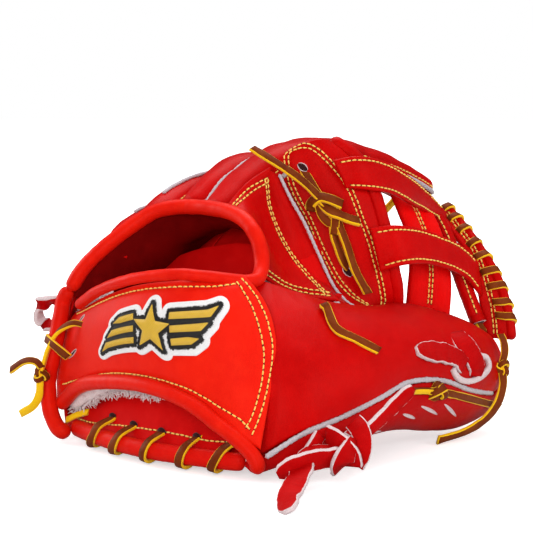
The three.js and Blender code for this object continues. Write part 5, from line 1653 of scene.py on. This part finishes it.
def drape(points, height):
    """Points moved along the view onto whichever thumb leather is nearest."""
    draped = []
    for point in points:
        away = unit(point - CAMERA)
        hits = [bvh.ray_cast(Vector(CAMERA), Vector(away))
                for bvh in (thumb_back_bvh, thumb_front_bvh)]
        hits = [hit for hit in hits if hit[0] is not None]
        nearest = min(hits, key=lambda hit: hit[3], default=None)
        # a hit far from the point is on another part of the thumb
        if nearest is not None and abs(nearest[3] - np.linalg.norm(point - CAMERA)) < 30:
            point = np.array(nearest[0]) - away * height
        draped.append(point)
    return np.array(draped)


front_knot = drape(FRONT_LACE[3:4], 3.4)[0]
front_line = drape(resample(FRONT_LACE, count=14), 1.6)
miss = FRONT_LACE[-1] - front_line[-1]
if np.linalg.norm(miss) < 12:
    # ease the last points back to the lace's end
    front_line[-4:] += miss * np.array([0.2, 0.5, 0.8, 1.0])[:, None]
front_lacing = Bag()
lace_knot(front_lacing, front_knot, size=4.8, width=4.2, thick=1.8, seed=18, turn=0.9)
lace(front_lacing, front_line[4:], seed=19, lean=5, width=4.6)
lace(front_lacing, front_line[:6], width=4.0, seed=20, lean=-15, slots=(1, 0, 0))
lace(front_lacing, [beside(front_knot, -6, -2, 1.0), beside(front_knot, -1, 0.5, 3.2),
                    beside(front_knot, 4, 3.0, 1.6)], seed=120, tip=(0, 0))
piece("thumb_front_lacing", front_lacing, LACE_LOOK, THUMB, ["thumb_front_lace"])

# ------------------------------------------------------------------ heel thong of the thumb
HEEL_KNOT = np.array([110, 34, 20.7])
HEEL_TAIL_UP = path(114.5,37,24.0,  117.6,41.5,27.2,  120.0,47.5,31.2,  122.8,55,37.0,
                    126.8,62,44.2,  131.4,68,51.4)
HEEL_TAIL_LEFT = path(115.2,28.0,16.8,  111.6,20.4,16.7,  108.7,13,16.5,  105.5,6,15.6,
                      101.6,0,13.2,  96.7,-5,9.8)
HEEL_TAIL_DOWN = path(112.0,27.0,18.5,  101.8,15.0,16.3,  109.0,-1.0,10.1,  114.2,-14.6,3.4,
                      125.5,-28.4,2.4,  131.3,-34.7,2.1)
TAIL_WIDTHS = [0.85, 0.95, 1, 1, 1, 1, 1, 1, 1, 1, 1, 1, 1, 1, 0.98, 0.93, 0.80, 0.45]
# points (right, up, near) from the knot, width, facing (right, up), seed, widths
KNOT_TURNS = (
    ([(6.0, 13.0, -1.5), (8.8, 9.6, 3.0), (10.4, 3.5, 4.2), (9.8, -4.0, 3.2), (7.2, -10.0, -1.0)],
     10.5, (-0.1, 0.1), 24, (1.0,)),
    ([(-12.5, 6.5, 0.5), (-15.0, 2.5, 2.0), (-18.0, -2.5, 2.0)], 7.6, (0.35, -0.1), 25, (1.0,)),
    ([(-8.6, 6.4, 1.0), (-4.6, 4.4, 6.0), (0.0, 0.8, 7.6), (3.6, -4.2, 7.0), (5.4, -10.2, 3.0)],
     11.0, (-0.36, -0.30), 26, (1.0,)),
    ([(4.2, 5.0, 7.6), (2.2, -0.8, 11.0), (0.2, -5.2, 12.0), (-1.2, -9.0, 9.4),
      (-1.6, -10.8, 4.0)],
     12.5, (0.42, -0.20), 27, (0.35, 0.62, 0.85, 1, 1.08, 1.1, 1.1)))
heel_thong = Bag()


def thong(points, width, facing, seed, widths=(1.0,)):
    lace(heel_thong, points, width, thick=2.8, facing=facing, seed=seed, fuzz=0.18, tip=(0, 0),
         widths=widths, step=0.8)


thong(HEEL_TAIL_UP, 8.6, looking(0.85, 0.38, -0.44), 21, TAIL_WIDTHS)
thong(HEEL_TAIL_LEFT, 12.0, looking(0.85, 0.05, -0.42), 22, [0.7, 0.85] + TAIL_WIDTHS[2:])
thong(HEEL_TAIL_DOWN, 12.4, looking(0.7, -0.25, 0.5), 23, TAIL_WIDTHS)
for offsets, width, facing, seed, widths in KNOT_TURNS:
    thong([beside(HEEL_KNOT, *offset) for offset in offsets], width, looking(0.85, *facing),
          seed, widths)
knot_core = [(-7, 4, -2.0), (-2, 1, 0.5), (4, -2, 0.5), (7, -6, -1.5)]
heel_thong.join(roll(np.array([beside(HEEL_KNOT, *offset) for offset in knot_core]), 5.6,
                     wrinkle=0.3, seed=28))
# two runs from the knot into the thumb's front leather, as (right, up) from the knot
for start, end, seed in (((3.5, 4.5), (7.0, 5.5), 29), ((-2.5, -1.0), (-3.0, 3.0), 30)):
    start = beside(HEEL_KNOT, *start, 1.0)
    away = unit(beside(HEEL_KNOT, *end) - CAMERA)
    hit = thumb_front_bvh.ray_cast(Vector(CAMERA), Vector(away))
    end = np.array(hit[0]) if hit[0] is not None else start + VIEW * 26
    thong([start, start * 0.66 + end * 0.34 + UP * 0.8, start * 0.3 + end * 0.7 + UP * 0.6,
           end + away * 3.0], 8.0, looking(0, 0.4, 0.9), seed)
piece("thumb_heel_thong_leather", heel_thong, THONG_LOOK, THUMB, ["thumb_heel_thong"])

# ------------------------------------------------------------------ little-finger side lacing
STRAP_KNOT = np.array([-87.6, -12.5, 40.9])
strap_lacing = Bag()
lace(strap_lacing, path(-62.5,1.5,72.4,  -71.5,-1.0,72.6,  -80.5,-4.5,67.0,  -85.4,-8.0,57.0,
                        -86.4,-10.5,49.7,  -87.4,-12.0,43.4),
     width=3.9, seed=31, tip=(0, 0),
     facing=path(0.3,-0.9,0.3,  0.1,-0.9,0.5,  -0.75,-0.65,0.3,  -0.9,-0.5,0.1,  -0.9,-0.5,0.1))
lace(strap_lacing, path(-69.4,-6.2,53.0,  -75.5,-8.0,57.0,  -83.5,-7.6,60.5,
                        -92.5,-3.5,61.5,  -97.5,5,60.5),
     width=4.8, seed=32,
     facing=path(0.1,-0.95,0.3,  0.1,-0.95,0.3,  -0.3,-0.9,0.3,  -0.9,-0.3,0.2,  -1,0.3,0.1))
lace_knot(strap_lacing, STRAP_KNOT, size=4.2, width=3.6, thick=1.6, seed=33, turn=1.1)
lace(strap_lacing, path(-85.9,-13.0,45.4,  -89.9,-15.0,49.2,  -97.8,-17.0,48.4,
                        -108.9,-18.0,41.9), width=4.4, seed=34, lean=30)
lace(strap_lacing, path(-88.0,-13.0,37.9,  -88.0,-14.0,28.8,  -92.5,-15.0,21.6,
                        -102.7,-16.0,15.7), width=4.6, seed=36, lean=-10, slots=(1, 1, 0))
piece("strap_lacing", strap_lacing, LACE_LOOK, GLOVE, ["strap_lace"])

side_thong = Bag()
lace(side_thong, path(-96.9,16,68.6,  -103.1,10,66.2,  -109.6,6,69.7,  -109.4,6,78.4,
                      -102.2,8,82.6,  -95.8,12,80.4,  -99.5,20,76.6),
     width=9.5, thick=3.0, seed=37, fuzz=0.2, tip=(0, 0), step=0.9,
     facing=path(0,-0.5,0.9,  -0.4,-0.6,0.7,  -1,-0.4,0.0,  -0.6,-0.5,-0.6,  0,-0.5,-0.8,
                 0.7,-0.6,-0.2,  0.8,-0.4,0.3))
piece("little_side_thong_leather", side_thong, THONG_LOOK, GLOVE,
      ["little_side_thong"])

# ------------------------------------------------------------------ fingertip lacing
index_lacing = Bag()
for line, seed in (
        (path(-2,226,158,  -10,228,157,  -19,227,148.5,  -25,225,138,  -30,222,131), 41),
        (path(4,234,152,  -3,238,148,  -12,238,139,  -22,235,127,  -31,231,118), 42)):
    lace(index_lacing, line, seed=seed,
         facing=path(0.1,0.4,0.9,  -0.1,0.5,0.85,  -0.3,0.5,0.8,  -0.4,0.5,0.75))
piece("index_tip_lacing", index_lacing, LACE_LOOK, GLOVE, ["index_tip_lace"])
little_lacing = Bag()
lace(little_lacing, path(-77,205,92,  -83,201,86,  -90,193,73,  -97,186,62,  -101,180,55),
     seed=43, facing=path(-0.3,0.3,0.9,  -0.6,0.3,0.7,  -0.7,0.3,0.6))
piece("little_tip_lacing", little_lacing, LACE_LOOK, OUTER, ["little_tip_lace"])

# ------------------------------------------------------------------ web edge lacing
# One wrap round the edge: offsets outward, along the normal and along the edge, mm.
WRAP = path(-7.5,1.2,-4.0,  -6.2,4.6,-3.2,  -1.0,5.2,-0.6,  2.6,2.6,0.8,  3.0,-2.0,2.2,
            -1.5,-4.6,3.6,  -6.5,-4.0,5.0,  -7.6,-1.0,5.6)
# and where its face looks: outward, normal
WRAP_FACING = np.array([[-0.5, 1], [0, 1], [0.3, 1], [1, 1], [1, -0.3], [0.3, -1], [0, -1],
                        [-0.5, -1]])
WRAP_COUNT, EDGE_POINTS = 9, 120
inner_edge, outer_edge = curve(WEB_EDGE[0], EDGE_POINTS), curve(WEB_EDGE[1], EDGE_POINTS)
edge_along = unit(np.gradient(outer_edge, axis=0))
edge_outward = unit(outer_edge - inner_edge)
edge_normal = unit(np.cross(edge_along, edge_outward))
if (edge_normal * (CAMERA - outer_edge)).sum() < 0:
    edge_normal = -edge_normal
edge_lacing = Bag()
for i in range(WRAP_COUNT):
    k = int((0.055 + 0.775 * i / (WRAP_COUNT - 1)) * (EDGE_POINTS - 1))
    axes = np.array([edge_outward[k], edge_normal[k], edge_along[k]])
    lace(edge_lacing, outer_edge[k] + WRAP @ axes, width=4.8, thick=1.9, slots=(0, 1, 1),
         facing=unit(WRAP_FACING @ axes[:2]), seed=50 + i, step=0.8, fuzz=0.04, tip=(0, 0))
piece("web_edge_lacing", edge_lacing, LACE_LOOK[:2], GLOVE, ["web_edge_lace"])
raised_edge = outer_edge + edge_normal * 0.4
piece("web_edge_roll", roll(np.concatenate([raised_edge[:-1:8], raised_edge[-1:]]), 3.2,
                            wrinkle=0.1, seed=60), [SHELL], GLOVE)

# ------------------------------------------------------------------ heel
HEEL_LINE = path(-75,2.5,8,  -66,0,8,  -45,-5.4,8,  -20,-8.8,8,  2,-8.8,8,  24,-5.4,8,
                 44,0,8,  55,3,8,  63,6,8.5)
# where each wrap leaves the lining (x, z), and its x under the binding
WRAP_TOPS = [(-38.5, 19.6), (-18.0, 18.4), (5.0, 17.8), (29.8, 18.0), (53.0, 18.6)]
WRAP_BOTTOMS = [-49.5, -26.5, 0.5, 26.0, 45.5]
heel_line = resample(HEEL_LINE, 1.2) + np.array([0, 0, 0.6])
piece("heel_binding_leather",
      roll(heel_line, 3.9, wrinkle=0.14, seed=62, flat=1.34, rings=0.05), [HEEL_RED], GLOVE,
      ["heel_binding"])


def heel_y(x):
    return float(np.interp(x, heel_line[:, 0], heel_line[:, 1]))


heel_lacing, heel_holes = Bag(), Bag()
for i, ((x, z), low_x) in enumerate(zip(WRAP_TOPS, WRAP_BOTTOMS)):
    hit = palm_lining_bvh.ray_cast(Vector((x, -60, z)), Vector((0, 1, 0)))
    y = hit[0].y if hit[0] is not None else heel_y(x) + 6
    middle = x * 0.5 + low_x * 0.5
    line = path(x + 0.8, y + 2.5, z + 1.5,
                x, y - 1.6, z - 0.4,
                x * 0.8 + low_x * 0.2, heel_y(x) - 2.6, z - 3.4,
                middle, heel_y(middle) - 5.4, 9.6,
                low_x * 0.85 + x * 0.15, heel_y(low_x) - 4.6, 4.6,
                low_x, heel_y(low_x) - 1.0, 2.2,
                low_x - 0.5, heel_y(low_x) + 4.0, 2.4)
    lace(heel_lacing, line, thick=1.9, slots=(0, 1, 1), seed=70 + i, step=0.8, tip=(0, 0),
         facing=path(0,-0.5,0.9,  0,-0.75,0.65,  0,-0.85,0.5,  0,-1,0.1,  0,-0.9,-0.45,
                     0,-0.4,-0.95,  0,0.3,-1))
    centre = np.array([x + 0.6, y - 0.35, z + 0.8])
    # a dark disc where each wrap leaves the lining: painted shade of the lace hole
    heel_holes.join(sweep(centre + path(-0.1,0.5,0.3,  0,-0.3,0), circle(2.7, 16)))
# runs between the wraps, inside the edge
for i in range(4):
    (x, z), low_x = WRAP_TOPS[i + 1], WRAP_BOTTOMS[i]
    middle = (x + low_x) / 2
    line = path(x + 0.8, heel_y(x) + 9, z,
                middle, heel_y(middle) + 7.5, 11,
                low_x, heel_y(low_x) + 4, 3.6)
    lace(heel_lacing, line, width=4.8, thick=1.8, slots=(0, 1, 1), seed=80 + i, step=1.3,
         tip=(0, 0), facing=path(0,1,0.3,  0,1,0,  0,1,-0.3))
lace(heel_lacing, path(-64.5,4.5,19.0,  -70.5,0.5,16.8,  -77.5,-1.5,13.0), width=3.6, seed=85,
     lean=30, slots=(1, 1, 0))
piece("heel_lacing", heel_lacing, LACE_LOOK, GLOVE, ["heel_lace"])
piece("heel_lace_holes", heel_holes, [SLIT_SHADE], GLOVE)

heel_stitching = Bag()
seam_v = np.linspace(0.10, 0.93, 8)
_, normals = palm_sample(np.array([0.09, 0.1]), seam_v)
seam = resample(scatter_row(PALM, 0.095, seam_v) - normals[0] * 4, 1.0)
stitches(heel_stitching, palm_lining_bvh, seam,
         np.repeat(unit(path(0.1, -0.75, 0.65)), len(seam), 0))
piece("heel_stitching", heel_stitching, STITCH_LOOK, GLOVE)


# ------------------------------------------------------------------ fleece
def fleece_lumps(points):
    return 0.8 * vnoise(points / 2.6, 111) + 0.5 * vnoise(points / 1.3, 112)


def tufts(bag, points, directions, each, size, spread, radius):
    """Curling fibres, several from each point."""
    for point, direction in zip(points, directions):
        for _ in range(each):
            line = [point + rng.normal(0, 0.8, 3)]
            heading = unit(direction + rng.normal(0, spread, 3))
            fibre = size * rng.uniform(0.5, 1.25)
            for _ in range(4):
                heading = unit(heading + rng.normal(0, 0.55, 3) + np.array([0, 0, -0.06]))
                line.append(line[-1] + heading * fibre / 4)
            bag.join(sweep(np.array(line), circle(radius, 4), scale=[1, 0.9, 0.75, 0.5, 0.15]))


fleece, inward = Surface(STRAP, towards=(0, 300, 60)).sample(
    0.05 + 0.95 * stations(62, 44, 2.0), 0.03 + 0.85 * stations(140, 90, 2.0))
rows, columns = fleece.shape[:2]
# the lower edge hangs below the strap
v = np.linspace(0, 1, columns)
hang = np.clip(v / 0.05, 0, 1) * np.clip((0.66 - v) / 0.22, 0, 1) ** 0.7
low = np.linspace(0, 1, rows) ** 5
fleece = fleece + (low[:, None] * hang[None])[..., None] * np.array([1.0, 1.5, -9.5])
piece("strap_fleece_lining", sheet(fleece, inward, 4.0, 6.2, fleece_lumps(fleece)),
      [FLEECE, FLEECE], GLOVE, ["strap_fleece"])

fibres = Bag()
hem = fleece + inward * 4.2
for i in (-1, -2, -3, -5, -7, -9):
    for j in range(1, int(columns * 0.62)):
        taper = 1.0 if j < columns * 0.44 else max(0.35, 1 - (j / columns - 0.44) / 0.18)
        tufts(fibres, hem[i, j][None], path(0.05, -0.25, -1.0), 4, size=4.6 * taper,
              spread=0.75, radius=0.46)

# the fleece turned up behind the upper roll, at the little-finger end
FLEECE_TURN = grid(3,
    -95.8,24,73.4,  -87,27,83.9,  -75.6,30,92.1,
    -88,20,73,  -77,21,83.5,  -63,22,92,
    -81.3,16,72.8,  -67.3,15,83,  -51.1,14,92)
turn, turn_normals = Surface(FLEECE_TURN).sample(0.02 + 0.96 * stations(18, 18, 1.6),
                                                 0.02 + 0.96 * stations(34, 30, 1.6))
piece("strap_fleece_turn", sheet(turn, turn_normals, 3.2, 0.5, fleece_lumps(turn)),
      [FLEECE, FLEECE], GLOVE)
tufts(fibres, (turn + turn_normals * 0.2)[::2, ::2].reshape(-1, 3),
      turn_normals[::2, ::2].reshape(-1, 3), 2, size=2.6, spread=0.8, radius=0.42)
tufts(fibres, (fleece + inward * 6.4)[8:-2:2, 2:-2:2].reshape(-1, 3),
      inward[8:-2:2, 2:-2:2].reshape(-1, 3), 1, size=3.4, spread=0.7, radius=0.42)
piece("strap_fleece_fibres", fibres, [FLEECE], GLOVE)

# ------------------------------------------------------------------ camera
scene = bpy.context.scene


def aim(thing, target):
    direction = Vector(to_world(target)) - thing.location
    thing.rotation_mode = "QUATERNION"
    thing.rotation_quaternion = direction.to_track_quat("-Z", "Y")


camera_data = bpy.data.cameras.new("camera")
camera = bpy.data.objects.new("camera", camera_data)
scene.collection.objects.link(camera)
camera_data.lens = 120
camera_data.sensor_width = 36
camera_data.clip_start = 0.05
camera_data.clip_end = 30
camera.location = to_world(CAMERA)
aim(camera, TARGET)
scene.camera = camera

# ------------------------------------------------------------------ floor
FLOOR_RADIUS = 4.0   # metres
floor_centre = to_world([0, 90, 0])


def floor_material():
    """Paper that glows only to the camera, brighter away from the glove."""
    made, tree, shader = material("floor_paper")
    vector = object_coordinates(tree)
    speckle = noise_texture(tree, vector, scale=90, detail=3)
    inputs = shader.inputs
    inputs["Roughness"].default_value = 0.9
    inputs["Specular IOR Level"].default_value = 0.1
    seen = tree.nodes.new("ShaderNodeLightPath").outputs["Is Camera Ray"]
    paper = mix_colour(tree, speckle, (0.93, 0.93, 0.93), (0.95, 0.95, 0.95))
    tree.links.new(mix_colour(tree, seen, (0.55, 0.55, 0.55), paper), inputs["Base Color"])
    inputs["Emission Color"].default_value = (1, 1, 1, 1)
    distance = tree.nodes.new("ShaderNodeVectorMath")
    distance.operation = "DISTANCE"
    tree.links.new(vector, distance.inputs[0])
    distance.inputs[1].default_value = floor_centre
    fade = tree.nodes.new("ShaderNodeMapRange")
    fade.interpolation_type = "SMOOTHSTEP"
    # distance from and to in metres, then emission from and to
    for index, value in enumerate((0.16, 0.75, 0.54, 1.1), start=1):
        fade.inputs[index].default_value = value
    tree.links.new(distance.outputs["Value"], fade.inputs[0])
    glow = calculate(tree, "MULTIPLY", seen, fade.outputs[0])
    tree.links.new(glow, inputs["Emission Strength"])
    return made


paper = floor_material()
floor_mesh = bpy.data.meshes.new("floor")
floor_mesh.from_pydata([(floor_centre[0] + FLOOR_RADIUS * math.cos(a),
                         floor_centre[1] + FLOOR_RADIUS * math.sin(a), 0.0)
                        for a in np.linspace(0, 2 * math.pi, 65)[:-1]], [], [list(range(64))])
floor_mesh.materials.append(paper)
floor = bpy.data.objects.new("floor", floor_mesh)
scene.collection.objects.link(floor)
floor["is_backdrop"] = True


# ------------------------------------------------------------------ world and lights
def build_world():
    """White to the camera, soft fill for the scene, almost dark in reflections."""
    world = bpy.data.worlds.new("studio")
    scene.world = world
    world.use_nodes = True
    tree = world.node_tree
    tree.nodes.clear()
    output = tree.nodes.new("ShaderNodeOutputWorld")
    ray = tree.nodes.new("ShaderNodeLightPath")

    def background(strength):
        node = tree.nodes.new("ShaderNodeBackground")
        node.inputs[0].default_value = (1.0, 1.0, 1.0, 1)
        node.inputs[1].default_value = strength
        return node.outputs[0]

    def mix(kind, otherwise, chosen):
        node = tree.nodes.new("ShaderNodeMixShader")
        for socket, source in zip(node.inputs, (ray.outputs[kind], otherwise, chosen)):
            tree.links.new(source, socket)
        return node.outputs[0]

    ambient = mix("Is Glossy Ray", background(0.52), background(0.04))
    tree.links.new(mix("Is Camera Ray", ambient, background(1.0)), output.inputs[0])


def softbox(name, at, target, size, power):
    """A square area light; places in mm, size in metres, power in watts."""
    light = bpy.data.lights.new(name, "AREA")
    light.shape = "RECTANGLE"
    light.size = size
    light.size_y = size
    light.energy = power
    lamp = bpy.data.objects.new(name, light)
    scene.collection.objects.link(lamp)
    lamp.location = to_world(at)
    aim(lamp, target)


build_world()
softbox("softbox_top", at=(-250, 350, 1150), target=(0, 100, 60), size=0.9, power=9.5)
softbox("softbox_left", at=(-1150, -350, 520), target=(0, 80, 70), size=0.7, power=6)
softbox("softbox_front", at=(760, -1050, 420), target=(30, 80, 70), size=0.8, power=10)
softbox("softbox_right", at=(1200, 200, 420), target=(40, 120, 60), size=0.6, power=5)
scene.view_settings.view_transform = "Standard"
scene.view_settings.look = "None"
scene.view_settings.exposure = 0.0


# ------------------------------------------------------------------ swollen padding
def evaluated(thing):
    return thing.evaluated_get(bpy.context.evaluated_depsgraph_get())


def plump(name, voxel, limit, pressure=4.0, frames=20):
    """Swells a piece by a short cloth simulation; no vertex moves more than limit metres."""
    target = PIECES[name]
    copy = bpy.data.objects.new(name + "_sim", target.data.copy())
    copy.matrix_world = target.matrix_world.copy()
    scene.collection.objects.link(copy)
    bpy.context.view_layer.update()
    remesh = copy.modifiers.new("remesh", "REMESH")
    remesh.mode = "VOXEL"
    remesh.voxel_size = voxel
    remesh.use_smooth_shade = True
    mesh = bpy.data.meshes.new_from_object(evaluated(copy))
    copy.modifiers.clear()
    copy.data = mesh
    before = np.empty(len(mesh.vertices) * 3)
    mesh.vertices.foreach_get("co", before)
    cloth = copy.modifiers.new("cloth", "CLOTH")
    cloth.settings.use_pressure = True
    cloth.settings.uniform_pressure_force = pressure
    cloth.settings.effector_weights.gravity = 0
    cloth.point_cache.frame_start = 1
    cloth.point_cache.frame_end = frames
    for number in range(1, frames + 1):
        scene.frame_set(number)
    after = np.empty(len(before))
    evaluated(copy).to_mesh().vertices.foreach_get("co", after)
    moved = np.nan_to_num((after - before).reshape(-1, 3))
    reach = np.linalg.norm(moved, axis=1, keepdims=True)
    moved = moved * np.minimum(1, limit / np.maximum(reach, 1e-9))
    copy.modifiers.clear()
    mesh.vertices.foreach_set("co", (before.reshape(-1, 3) + moved).ravel())
    mesh.update()
    subdivide = copy.modifiers.new("smooth", "SUBSURF")
    subdivide.levels = 1
    subdivide.render_levels = 1
    done = bpy.data.meshes.new_from_object(evaluated(copy))
    done.materials.clear()
    done.materials.append(target.data.materials[0])
    done.polygons.foreach_set("material_index", [0] * len(done.polygons))
    done.polygons.foreach_set("use_smooth", [True] * len(done.polygons))
    bpy.data.objects.remove(copy, do_unlink=True)
    scene.frame_set(1)
    target.data = done


plump("thumb_heel_padding", voxel=0.0022, limit=0.0008)
plump("little_heel_padding", voxel=0.0022, limit=0.0008)
plump("palm_felt_padding", voxel=0.0016, limit=0.0006)
plump("strap_fleece_lining", voxel=0.0020, limit=0.0010)

low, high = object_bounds()
